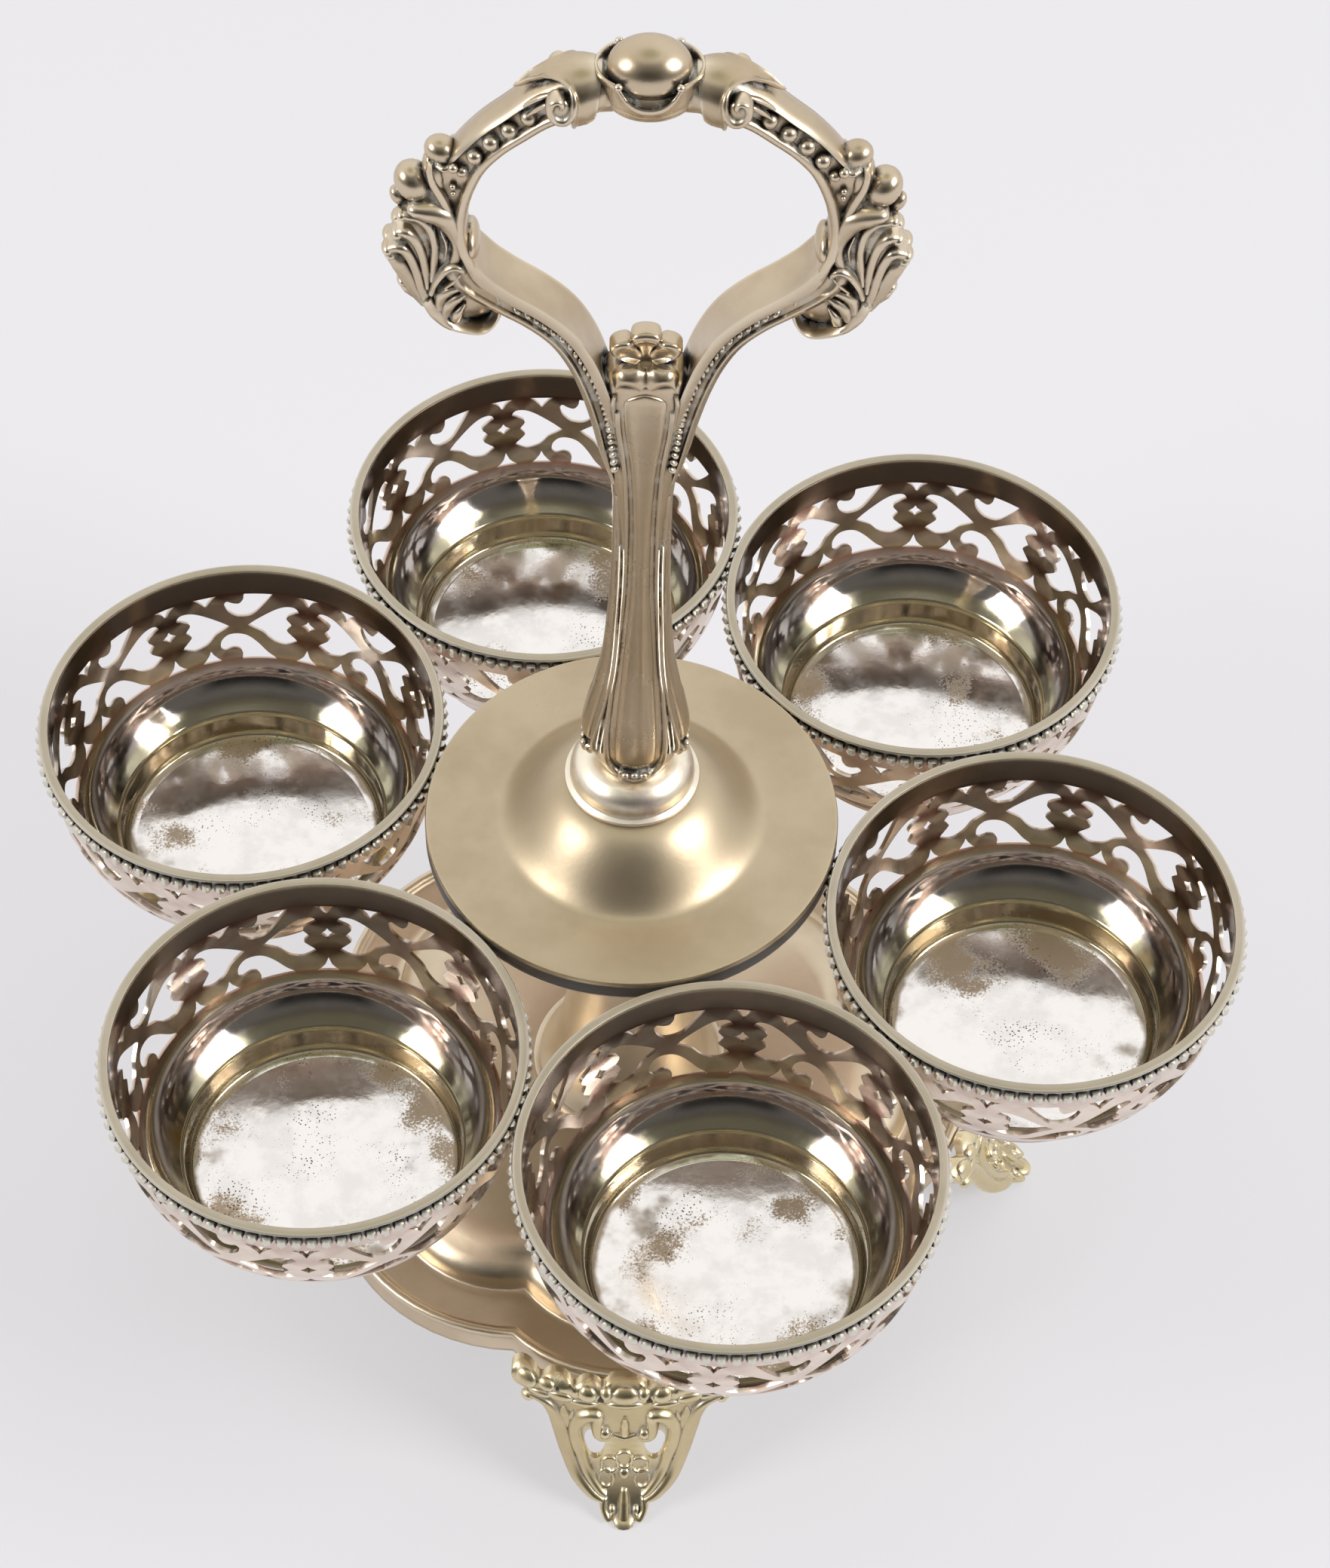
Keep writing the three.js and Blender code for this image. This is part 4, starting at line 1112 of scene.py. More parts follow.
@dataclass
class Tray:
    """Lobed base tray: rolled border, channel, domed middle and skirt."""

    level: float = 26.4
    skirt_bottom: float = 20.5
    centre_level: float = 33.0
    foot_tip: float = 55.5
    diagonal_tip: float = 55.2
    cusp: float = 51.3
    cusp_angle: float = 20.5
    line_tip: float = 46.5
    line_cusp: float = 41.5
    line_cusp_angle: float = 22.9
    lobe_steps: int = 14
    wall: float = 1.2

    def lobed_ring(self, foot: float, diagonal: float, cusp: float, cusp_angle: float,
                   height: float) -> list[Vector]:
        """Ring of eight arcs that meet in cusps.

        Args:
            foot: reach of the four lobes over the feet.
            diagonal: reach of the four lobes between them.
            cusp: reach of the cusps.
            cusp_angle: azimuth from a foot lobe's middle to its cusp.
            height: level of the ring.

        Returns:
            Points round the ring, starting at the cusp before the lobe at azimuth 0.
        """
        ring = []
        for quarter in range(4):
            for turn, tip, half in ((0, foot, cusp_angle), (45, diagonal, 45 - cusp_angle)):
                reach = cusp * math.cos(math.radians(half))
                side = cusp * math.sin(math.radians(half))
                bulge = max(tip - reach, 1e-3)
                radius = (side * side + bulge * bulge) / (2 * bulge)
                centre = tip - radius
                spread = math.atan2(side, reach - centre)
                for k in range(self.lobe_steps):
                    angle = lerp(-spread, spread, k / self.lobe_steps)
                    spot = (centre + radius * math.cos(angle), radius * math.sin(angle), height)
                    ring.append(turned_about(quarter * 90 + turn, spot))
        return ring

    def border(self, inset: float, height: float) -> list[Vector]:
        """Ring that follows the outer border."""
        return self.lobed_ring(self.foot_tip - inset, self.diagonal_tip - inset, self.cusp - inset,
                               self.cusp_angle, height)

    def line(self, inset: float, height: float) -> list[Vector]:
        """Ring that follows the foot of the domed middle."""
        return self.lobed_ring(self.line_tip - inset, self.line_tip - inset, self.line_cusp - inset * 0.75,
                               self.line_cusp_angle, height)

    def circle(self, radius: float, height: float) -> list[Vector]:
        """Round ring with its points on the same azimuths as the lobed ones."""
        return self.lobed_ring(radius, radius, radius * 0.9995, self.line_cusp_angle, height)

    def build(self, finish: Material) -> None:
        """Makes the tray and dresses it."""
        top = self.level
        roll = [(0.55, self.skirt_bottom), (0.25, self.skirt_bottom + 0.35), (0.35, self.skirt_bottom + 1.0),
                (0.55, top - 2.6), (0.45, top - 1.9), (0.1, top - 1.35), (0, top - 0.8), (0.15, top - 0.3),
                (0.6, top), (1.2, top - 0.15), (1.65, top - 0.6), (1.9, top - 1.05), (2.4, top - 1.2)]
        rings = [self.border(inset, height) for inset, height in roll]
        for k in range(1, 6):
            outer, inner = self.border(2.4, top - 1.2), self.line(-0.5, top - 2.35)
            rings.append([a.lerp(b, k / 5) for a, b in zip(outer, inner)])
        shoulder = [(0.0, -2.1), (0.25, -1.3), (0.9, -0.2), (1.9, 0.8), (3.3, 1.65), (5.2, 2.4)]
        rings += [self.line(inset, top + rise) for inset, rise in shoulder]
        last = self.line(5.2, top + 2.4)
        for k in range(1, 8):
            share = k / 7
            plain = self.circle(lerp(40, 16.6, share), lerp(top + 2.6, self.centre_level, share ** 0.85))
            mix = min(share * 2.2, 1)
            ring = []
            for lobed, spot in zip(last, plain):
                size = lerp(lobed.xy.length / spot.xy.length, 1, mix)
                ring.append(Vector((spot.x * size, spot.y * size, spot.z)))
            rings.append(ring)
        rings.append(self.circle(2.8, self.centre_level))
        under = [self.circle(2.8, self.centre_level - self.wall),
                 self.circle(20, self.centre_level - self.wall - 0.6), self.circle(38, top + 1.0),
                 self.line(1.4, top - 2.4), self.line(0.5, top - 3.4), self.border(2.6, top - 2.4),
                 self.border(1.7, top - 2.2), self.border(1.35, self.skirt_bottom)]
        casting = Casting("lobed_tray")
        casting.loft(rings + under, wrap=True)
        piece = casting.to_object(crease=55)
        settle(piece, Body.STAND, Slot.SATIN, finish, ["base_tray"])


@dataclass
class Foot:
    """Cast foot: apron, pierced bracket with scrolls and a flower, and toe."""

    name: str
    azimuth: float
    lobe_radius: float = 42.0
    thickness: float = 1.8
    casting: Casting = field(init=False)
    profile: tuple = ((0.0, 68.0), (1.55, 66.0), (4.65, 63.6), (9.3, 61.1), (17.05, 58.6), (21.7, 58.0),
                      (24.5, 57.9), (26.0, 57.0), (27.0, 56.2))

    def __post_init__(self) -> None:
        """Starts the foot's casting."""
        self.casting = Casting(f"cast_{self.name}")

    def place(self, spot: Vector) -> Vector:
        """Bends a point of the flat drawing to the foot's face.

        Args:
            spot: x across, y inwards from the face, z up.

        Returns:
            The point in the stand's frame.
        """
        fall = self.lobe_radius - math.sqrt(max(self.lobe_radius ** 2 - spot.x ** 2, 0))
        radius = table_value(self.profile, spot.z) - fall
        return turned_about(self.azimuth + 90, (spot.x, spot.y - radius, spot.z))

    def stroke(self, points: Points, widths: Numbers, heights: Numbers, both: bool = True) -> None:
        """Lays a bead of metal on the face, and its mirror image.

        Args:
            points: control points, x across and z up.
            widths: half widths from start to end.
            heights: heights from start to end.
            both: whether the mirror image is made too.
        """
        for side in (1, -1) if both else (1,):
            path = [Vector((side * p.x, 0, p.y)) for p in smooth_curve(points, 5)]
            self.casting.stroke(path, widths, heights, sink=0.8, place=self.place)

    def blob(self, x: float, z: float, radii: Point, lift: float = 0.0, both: bool = True) -> None:
        """Adds a rounded lump on the face, and its mirror image.

        Args:
            x: place across.
            z: place up.
            radii: half sizes across, outwards and up.
            lift: how far its middle stands out of the face.
            both: whether the mirror image is made too.
        """
        for side in (1, -1) if both and x else (1,):
            flat = self.casting.ball((side * x, -lift, z), radii, segments=12)
            for vert in flat:
                vert.co = self.place(vert.co)

    def build(self, finish: Material) -> None:
        """Makes the foot and dresses it."""
        self.web()
        self.apron()
        self.scrolls()
        self.flower()
        self.toe()
        settle(self.casting.to_object(crease=60), Body.STAND, Slot.FOOT, finish, [self.name])

    def web(self) -> None:
        """Thin plate behind the scrolls, with its two windows."""
        right = [(1.6, 0.6), (2.2, 2.0), (4.4, 3.6), (6.9, 6.2), (8.4, 9.8), (9.6, 14.6), (11.4, 18.6),
                 (14.2, 20.6), (15.4, 21.2), (15.4, 22.6)]
        curve = smooth_curve(right, 3, (9,))
        window = smooth_curve([(3.2, 13.2), (4.6, 15.6), (6.3, 14.4), (6.2, 11.2), (4.9, 9.5), (3.4, 10.6)],
                              3, closed=True)
        web_share = 0.55
        self.casting.plate(curve + flipped(curve), (window, flipped(window)), self.thickness * web_share, 2.0,
                           self.place)

    def apron(self) -> None:
        """Lumpy leaf band below the tray's border."""
        top = [(0, 26.6), (2.4, 26.4), (3.5, 25.5), (4.9, 26.2), (6.6, 26.0), (8.0, 25.2), (9.2, 26.1),
               (11.4, 26.3), (13.2, 25.4), (14.4, 26.2), (16.2, 26.5), (17.6, 25.8)]
        low = [(17.9, 24.6), (17.3, 23.0), (15.6, 21.7), (12.5, 21.2), (8.0, 21.5), (4, 21.9), (0, 21.9)]
        curve = smooth_curve(top + low, 3)
        holes = []
        for x, z, half in ((3.75, 23.6, 0.62), (10.6, 24.4, 0.4), (8.2, 23.0, 0.32)):
            tear = [(x - half * 0.6, z - half), (x + half * 0.6, z - half), (x + half, z),
                    (x + half * 0.2, z + half * 1.7), (x - half * 0.7, z + half * 0.4)]
            loop = smooth_curve(tear, 3, closed=True)
            holes += [loop, flipped(loop)]

        def dished(spot: Vector) -> Vector:
            """Place of a point on the apron, which is hollow between its edges."""
            return self.place(spot + Vector((0, -0.35 + 0.9 * ((spot.z - 23.8) / 3) ** 2, 0)))

        self.casting.plate(curve + flipped(curve[1:-1]), holes, self.thickness, 1.6, dished)
        lumps = (
            (0, 24.6, 2.3, 1.7), (5.9, 24.5, 1.5, 1.5), (10.2, 23.0, 2.2, 1.2), (12.4, 25.0, 1.4, 1.0),
            (15.6, 24.8, 1.7, 1.6), (3.0, 25.2, 0.9, 0.9), (13.4, 22.6, 1.9, 0.9), (0, 22.7, 3.0, 0.8),
            (6.6, 22.4, 2.4, 0.8))
        for x, z, wide, tall in lumps:
            self.blob(x, z, (wide, 0.75, tall), lift=0.3)

    def scrolls(self) -> None:
        """Inner and outer scrolls of the bracket, with the leaf between them."""
        inner = [(2.3, 15.1), (3.0, 14.3), (4.1, 14.6), (4.4, 16.0), (4.4, 18.9), (6.4, 18.4), (7.9, 16.2),
                 (7.9, 13.4), (7.0, 10.6), (6.0, 7.6), (4.2, 5.0), (3.0, 4.0)]
        self.stroke(inner, (0.5, 0.8, 0.95, 1.1, 1.2, 1.25, 1.2, 1.0, 0.8, 0.5),
                    (0.7, 1.0, 1.2, 1.3, 1.3, 1.2, 0.9))
        self.blob(3.15, 15.25, (1.0, 0.9, 1.0), lift=0.3)
        outer = [(15.8, 20.9), (14.6, 21.0), (12.6, 20.2), (11.0, 17.6), (10.0, 14.4), (9.0, 10.6),
                 (7.6, 6.9), (5.3, 4.3), (3.4, 3.3)]
        self.stroke(outer, (0.7, 0.6, 0.8, 1.2, 1.5, 1.5, 1.4, 1.2, 0.9, 0.5),
                    (0.8, 0.9, 1.1, 1.3, 1.3, 1.2, 1.0))
        self.blob(15.5, 20.6, (1.0, 0.9, 0.9), lift=0.3)
        leaf = [(9.6, 14.6), (9.5, 16.6), (9.8, 18.4), (9.7, 20.2)]
        self.stroke(leaf, (0.9, 1.3, 1.1, 0.15), (0.7, 0.8, 0.7, 0.2))
        self.stroke([(9.8, 16.8), (10.9, 18.2), (11.4, 19.4)], (0.7, 0.6, 0.12), (0.6, 0.5, 0.2))
        self.stroke([(9.4, 16.8), (8.5, 18.0), (8.2, 19.2)], (0.7, 0.6, 0.12), (0.6, 0.5, 0.2))
        self.stroke([(0, 18.6), (0, 17.0), (0, 15.0)], (0.35, 0.75, 0.7), (0.5, 0.9, 0.8), both=False)
        self.stroke([(-1.7, 14.7), (0, 14.4), (1.7, 14.7)], (0.35, 0.6, 0.35), (0.4, 0.8, 0.4), both=False)

    def flower(self) -> None:
        """Five cupped petals with raised rims, low on the web."""
        petals = ((0, 9.9, 1.25, 1.5, 0), (2.35, 8.9, 1.35, 1.3, -40), (2.9, 6.6, 1.45, 1.15, -95))
        for x, z, wide, tall, turn in petals:
            for side in (1, -1) if x else (1,):
                ring = []
                tilt = Matrix.Rotation(math.radians(turn * side), 2)
                for k in range(14):
                    angle = FULL_TURN * k / 14
                    spot = tilt @ Vector((wide * math.cos(angle), tall * math.sin(angle)))
                    ring.append(Vector((side * x + spot.x, 0, z + spot.y)))
                ring.append(ring[0].copy())
                self.casting.stroke(ring, (0.28,), (0.55,), sink=0.8, place=self.place)
        self.blob(0, 7.4, (0.9, 0.6, 0.9), lift=0.2, both=False)

    def toe(self) -> None:
        """Ridge, volutes and pad that the foot stands on."""
        self.stroke([(0, 5.0), (0, 3.2), (0, 1.4), (0, 0.35)], (0.5, 0.95, 1.0, 1.4), (0.5, 1.3, 1.3, 0.7),
                    both=False)
        self.stroke([(3.1, 3.6), (3.3, 2.2), (2.6, 1.1), (1.9, 1.3), (1.7, 2.1)], (0.5, 0.6, 0.55, 0.4, 0.35),
                    (0.7, 0.9, 0.9, 0.7, 0.5))
        for side in (1, -1):
            self.blob(side * 1.9, 2.0, (0.55, 0.6, 0.55), lift=0.2, both=False)
        self.blob(0, 0.75, (1.9, 1.3, 0.72), lift=0.1, both=False)


@dataclass
class Loop:
    """Cast loop of the handle with its arms, drawn in the plane y = 0."""

    casting: Casting
    # Places down the right half: x, z, half thickness and half depth
    round_bar: tuple = ((0, 246.0, 2.4, 2.9), (4.4, 246.0, 2.6, 2.9), (6.4, 246.5, 3.5, 3.7),
                        (8.8, 246.1, 3.6, 3.8))
    beaded_bar: tuple = ((11.4, 245.2, 2.8, 3.5), (13.6, 243.9, 2.6, 3.35), (16.4, 241.5, 2.45, 3.3),
                         (19.2, 239.0, 2.4, 3.25), (21.8, 235.8, 2.45, 3.2))
    side_bar: tuple = ((23.9, 231.9, 2.7, 3.2), (25.2, 227.6, 2.9, 3.3), (25.6, 223.2, 3.0, 3.5),
                       (24.7, 219.0, 3.0, 3.8))
    arm_bar: tuple = (
        (22.0, 215.0, 2.6, 3.8), (18.3, 211.8, 2.3, 3.8), (14.4, 208.9, 2.2, 3.8), (11.0, 205.4, 2.15, 3.8),
        (8.6, 201.0, 2.1, 3.8), (6.8, 195.6, 2.0, 3.8), (5.4, 189.5, 1.9, 3.6), (4.3, 183.0, 1.7, 3.3),
        (3.2, 176.5, 1.2, 2.6))
    # Front half of each section, from the inner middle to the outer middle
    channel: tuple = (
        (-1, 0), (-.98, -.38), (-.92, -.72), (-.78, -.95), (-.58, -1.0), (-.42, -.94), (-.36, -.8),
        (-.3, -.62), (.05, -.56), (.45, -.54), (.58, -.6), (.7, -.74), (.87, -.62), (.97, -.3), (1, 0))
    side: tuple = (
        (-1, 0), (-.99, -.4), (-.93, -.75), (-.8, -.97), (-.64, -1), (-.5, -.92), (-.42, -.75),
        (-.34, -.62), (-.1, -.58), (.2, -.55), (.5, -.55), (.75, -.5), (.9, -.4), (.97, -.2), (1, 0))
    arm: tuple = (
        (-.84, 0), (-.86, -.45), (-.95, -.8), (-.97, -.97), (-.7, -1.0), (-.32, -.97), (-.22, -.8),
        (.05, -.76), (.3, -.8), (.38, -.95), (.5, -.95), (.58, -.87), (.82, -.82), (.97, -.6), (1, 0))
    bead_places: tuple = ((14.6, 0.95), (17.0, 1.0), (19.3, 1.0), (21.3, 0.95), (22.9, 0.68), (24.1, 0.4))
    mouth: tuple = ((0, 14.2), (7, 13.0), (15, 11.6), (25, 10.5), (35, 9.7), (45, 9.15), (62, 8.7),
                    (77, 8.7), (95, 9.3), (120, 10.2), (150, 10.6), (180, 10.4))
    sleeve_top: tuple = ((6.2, 3.55), (7.5, 4.1), (9.1, 4.25), (11.5, 4.1), (13.5, 3.6), (14.5, 3.1))
    sleeve_front: tuple = ((6.2, 3.8), (7.2, 4.2), (8.4, 4.55), (12.0, 4.6))
    span_steps: int = 4

    @property
    def stations(self) -> list[tuple]:
        """Places down the right half of the loop, each with the shape of its section."""
        circle = [(-math.cos(math.pi * k / 14), -math.sin(math.pi * k / 14)) for k in range(15)]
        kinds = ((self.round_bar, circle), (self.beaded_bar, self.channel), (self.side_bar, self.side),
                 (self.arm_bar, self.arm))
        return [(Vector(place), shape) for places, shape in kinds for place in places]

    def rings(self) -> list[list[Vector]]:
        """Works out the sections of the whole loop.

        Returns:
            Rings from the foot of the left arm over the top to the foot of the right one.
        """
        right = self.stations
        left = [(Vector((-row[0], *row[1:])), shape) for row, shape in reversed(right[1:])]
        rows = left + right
        smooth = smooth_curve([row for row, _ in rows], self.span_steps)
        rings = []
        for i, row in enumerate(smooth):
            place = i / self.span_steps
            low = min(int(place), len(rows) - 2)
            share = place - low
            share = share * share * (3 - 2 * share)
            shape = [Vector(a).lerp(Vector(b), share) for a, b in zip(rows[low][1], rows[low + 1][1])]
            ahead = smooth[min(i + 1, len(smooth) - 1)] - smooth[max(i - 1, 0)]
            along = Vector((ahead[0], ahead[1])).normalized()
            outward = Vector((-along.y, along.x))
            full = shape + [Vector((p.x, -p.y)) for p in reversed(shape[1:-1])]
            x, z, half, depth = row
            rings.append([Vector((x + outward.x * p.x * half, p.y * depth, z + outward.y * p.x * half))
                          for p in full])
        return rings

    def frame_at(self, x: float) -> tuple[Vector, Vector, float]:
        """Reads the upper bar above an x.

        Args:
            x: the place across.

        Returns:
            The bar's centre, its outward direction and its half thickness.
        """
        upper = [row for row, _ in self.stations[:11]]
        levels = [(row[0], row[1]) for row in upper]
        halves = [(row[0], row[2]) for row in upper]
        rise = table_value(levels, x + 0.2) - table_value(levels, x - 0.2)
        outward = Vector((-rise, 0, 0.4)).normalized()
        return Vector((x, 0, table_value(levels, x))), outward, table_value(halves, x)

    def build(self) -> None:
        """Adds the loop's shapes to the handle's casting."""
        self.casting.loft(self.rings())
        self.ball_and_socket()
        front = []
        for x, radius in self.bead_places:
            centre, outward, half = self.frame_at(x)
            front += self.casting.ball(centre + outward * (half * 0.06) + Vector((0, -2.25, 0)),
                                       [radius * 1.1] * 3, segments=16)
        for part in (self.petal, self.shell, self.scroll, self.rope):
            front += part()
        volute = self.volute()
        hidden = self.casting.mirror_copy(volute, (0, 1, 0))
        for vert in hidden:
            vert.co += Vector((0, -0.6, -0.6))
        right = front + self.casting.mirror_copy(front, (0, 1, 0)) + volute + hidden
        right += self.sleeve() + self.bud()
        self.casting.mirror_copy(right, (1, 0, 0))

    def ball_and_socket(self) -> None:
        """Egg-shaped ball in an open socket, whose level rim has a scallop at the front and at the back."""
        self.casting.ball((0, 0, 249.5), (5.35, 4.25, 4.15), segments=56)
        self.casting.ball((0, 0, 245.9), (5.9, 4.75, 3.0), segments=40)
        rim_level = ((0, 247.1), (1.2, 247.25), (2.4, 247.9), (3.3, 249.0), (3.8, 249.9), (4.4, 250.2),
                     (7, 250.2))
        count = 96
        rings = []
        for k in range(count):
            c, s = math.cos(FULL_TURN * k / count), math.sin(FULL_TURN * k / count)
            top = table_value(rim_level, abs(c * 6.6))
            profile = [(0.05, 242.5), (0.42, 242.9), (0.7, 243.9), (0.88, 245.3)]
            profile += [(lerp(0.88, 1.0, share), lerp(245.3, top - 0.7, share)) for share in (0.35, 0.7, 1.0)]
            profile += [(1.015, top - 0.25), (0.985, top + 0.05), (0.945, top), (0.915, top - 0.35),
                        (0.89, top - 1.2), (0.8, 245.2), (0.05, 244.6)]
            rings.append([Vector((6.75 * c * scale, 5.15 * s * scale, level)) for scale, level in profile])
        self.casting.loft(rings, wrap=True)
        for side in (1, -1):
            for end in (1, -1):
                self.casting.ball((side * 3.75, end * 4.15, 250.0), (0.55, 0.5, 0.5), segments=12)

    def front(self, points: Points, widths: Numbers, heights: Numbers, depth: float,
              sink: float = 1.2) -> list:
        """Lays a bead of metal on the front.

        Args:
            points: control points, x across and z up.
            widths: half widths from start to end.
            heights: heights from start to end.
            depth: distance of its ground from the middle plane.
            sink: depth of its foot below its ground.

        Returns:
            The new vertices.
        """
        path = [Vector((p.x, -depth, p.y)) for p in smooth_curve(points, 4)]
        return self.casting.stroke(path, widths, heights, sink=sink)

    def sleeve(self) -> list:
        """Trumpet-like leaf round the bar: long on the bar's back, and cut away to a mouth in front."""
        rings = []
        count = 44
        for k in range(count):
            angle = FULL_TURN * k / count
            turn = math.degrees(angle)
            end = table_value(self.mouth, turn if turn <= 180 else 360 - turn)
            over = max(math.cos(angle), 0) ** 1.5
            profile = []
            for share in (0, 0.14, 0.3, 0.5, 0.7, 0.86):
                x = lerp(6.2, end, share)
                radius = lerp(table_value(self.sleeve_front, x), table_value(self.sleeve_top, x), over)
                profile.append((x, radius))
            tip = profile[-1][1]
            profile += [(end - 0.25, tip + 0.22), (end, tip + 0.08), (end + 0.02, tip - 0.3),
                        (end - 0.5, tip - 0.65), (end - 1.3, tip - 0.9), (6.2, tip - 1.5)]
            ring = []
            for x, radius in profile:
                centre, outward, _ = self.frame_at(x)
                across = Vector((0, -radius * math.sin(angle), 0))
                ring.append(centre + outward * (radius * math.cos(angle)) + across)
            rings.append(ring)
        return self.casting.loft(rings, wrap=True)

    def volute(self) -> list:
        """Small scroll that ends the sleeve's lip on the front, with leaf lines in the mouth behind it."""
        curl = [(9.7, -3.3, 249.1), (9.2, -3.9, 248.5), (9.05, -4.35, 247.4), (9.3, -4.5, 246.1),
                (10.1, -4.55, 245.1), (11.0, -4.55, 245.1), (11.75, -4.5, 245.8), (12.0, -4.45, 246.9),
                (11.6, -4.4, 247.9), (10.9, -4.4, 248.1), (10.5, -4.4, 247.4), (10.8, -4.4, 246.6)]
        made = self.casting.stroke(smooth_curve(curl, 4),
                                   (0.25, 0.4, 0.5, 0.6, 0.7, 0.72, 0.66, 0.6, 0.55, 0.5, 0.45, 0.3),
                                   (0.3, 0.5, 0.7, 0.9, 1.0, 1.0, 1.0, 1.0, 1.0, 0.95, 0.9, 0.7),
                                   up=lambda _: Vector((0, -1, 0.12)), sink=1.6)
        made += self.casting.ball((10.9, -4.3, 246.6), (1.5, 0.75, 1.6), segments=20)
        for lines in (((16.2, -1.6, 243.6), (14.8, -2.1, 245.3), (13.2, -2.5, 246.7), (11.6, -2.9, 247.8)),
                      ((15.2, -2.5, 243.4), (13.8, -2.9, 245.0), (12.6, -3.2, 246.1), (11.9, -3.4, 246.7))):
            made += self.casting.stroke(smooth_curve(lines, 5), (0.15, 0.36, 0.4, 0.15), (0.3, 0.6, 0.6, 0.3),
                                        up=lambda _: Vector((0.1, -1, 0.5)), sink=1.2)
        return made

    def bud(self) -> list:
        """Closed bud and folded leaf on the loop's shoulder, across its whole depth."""
        made = []
        lumps = (
            ((25.6, 0, 235.6), (2.25, 2.0, 1.9), -0.5), ((26.4, 0, 232.0), (1.6, 2.3, 3.4), 0.2),
            ((29.2, 0, 230.3), (2.4, 2.6, 2.9), 0.5), ((31.2, 0, 227.8), (1.0, 1.2, 1.5), 0.5),
            ((27.6, 0, 227.6), (2.3, 2.4, 2.6), 0.3), ((28.7, 0, 219.0), (3.2, 2.2, 6.8), 0.12),
            ((23.3, 0, 210.2), (4.5, 1.9, 3.9), 0), ((22.3, 0, 220.4), (1.2, 3.3, 2.5), 0))
        for centre, radii, turn in lumps:
            made += self.casting.ball(centre, radii, Matrix.Rotation(turn, 3, "Y"), 24)
        return made

    def petal(self) -> list:
        """Folded leaf that curls off the bar, and the long petal below the bud."""
        fold = [(26.9, 235.0), (27.0, 233.4), (26.6, 231.6), (25.7, 229.4), (24.8, 226.8)]
        made = self.front(fold, (0.3, 0.55, 0.6, 0.75, 0.8), (0.4, 0.8, 0.9, 1.0, 1.0), 1.9, sink=1.6)
        made += self.front([(26.2, 235.0), (25.2, 234.2), (24.2, 234.7)], (0.3, 0.5, 0.45), (0.8, 0.9, 0.7),
                           1.7)
        for x, z, radius in ((24.1, 234.9, 0.66), (24.2, 230.6, 0.36)):
            made += self.casting.ball((x, -2.6, z), [radius] * 3, segments=14)
        blade = [(30.0, 227.6), (29.2, 227.7), (27.4, 227.3), (25.6, 226.4), (24.3, 224.1), (23.8, 221.5),
                 (24.3, 218.9), (25.4, 217.2)]
        made += self.front(blade, (0.4, 1.0, 1.45, 1.6, 1.3, 1.0, 0.75, 0.3),
                           (0.8, 1.3, 1.5, 1.4, 1.2, 1.0, 0.8, 0.3), 2.3, sink=1.8)
        made += self.front([(25.9, 224.2), (25.3, 221.8), (25.6, 219.3)], (0.15, 0.3, 0.15),
                           (0.5, 0.7, 0.4), 2.5)
        return made

    def shell(self) -> list:
        """Shell leaf below the bud: lobes with curled tips, and grooves between them."""
        made = []
        lobes = (
            ([(30.8, 226.2), (30.0, 226.3), (28.6, 225.9), (27.3, 224.1), (26.8, 221.1), (27.0, 218.2),
              (27.3, 215.0)],
             (0.6, 0.65, 0.65, 0.65, 0.6, 0.6, 0.5), 2.0, 0.8),
            ([(31.5, 222.8), (30.4, 223.3), (29.2, 221.8), (28.5, 219.6), (28.1, 216.7), (27.9, 213.6)],
             (0.75, 0.8, 0.75, 0.7, 0.7, 0.5), 1.9, 0.95),
            ([(32.8, 219.9), (31.2, 220.5), (30.1, 219.2), (29.3, 216.6), (28.7, 213.3), (28.0, 210.4)],
             (0.65, 0.85, 0.8, 0.75, 0.75, 0.6), 1.8, 0.85),
            ([(32.5, 218.7), (31.4, 217.2), (30.5, 215.2), (29.6, 212.7), (28.4, 210.1)],
             (0.8, 1.25, 1.3, 1.1, 0.7), 1.4, 0.9),
            ([(31.2, 213.6), (30.4, 212.4), (29.3, 210.9)], (0.6, 0.8, 0.5), 1.0, 0.8),
        )
        for points, widths, depth, tip in lobes:
            made += self.front(points, widths, (0.6, 0.95, 0.95, 0.9, 0.8, 0.7), depth, sink=1.8)
            made += self.casting.ball((points[0][0], -depth + 0.6, points[0][1]), (tip, 1.5, tip),
                                      segments=14)
        return made

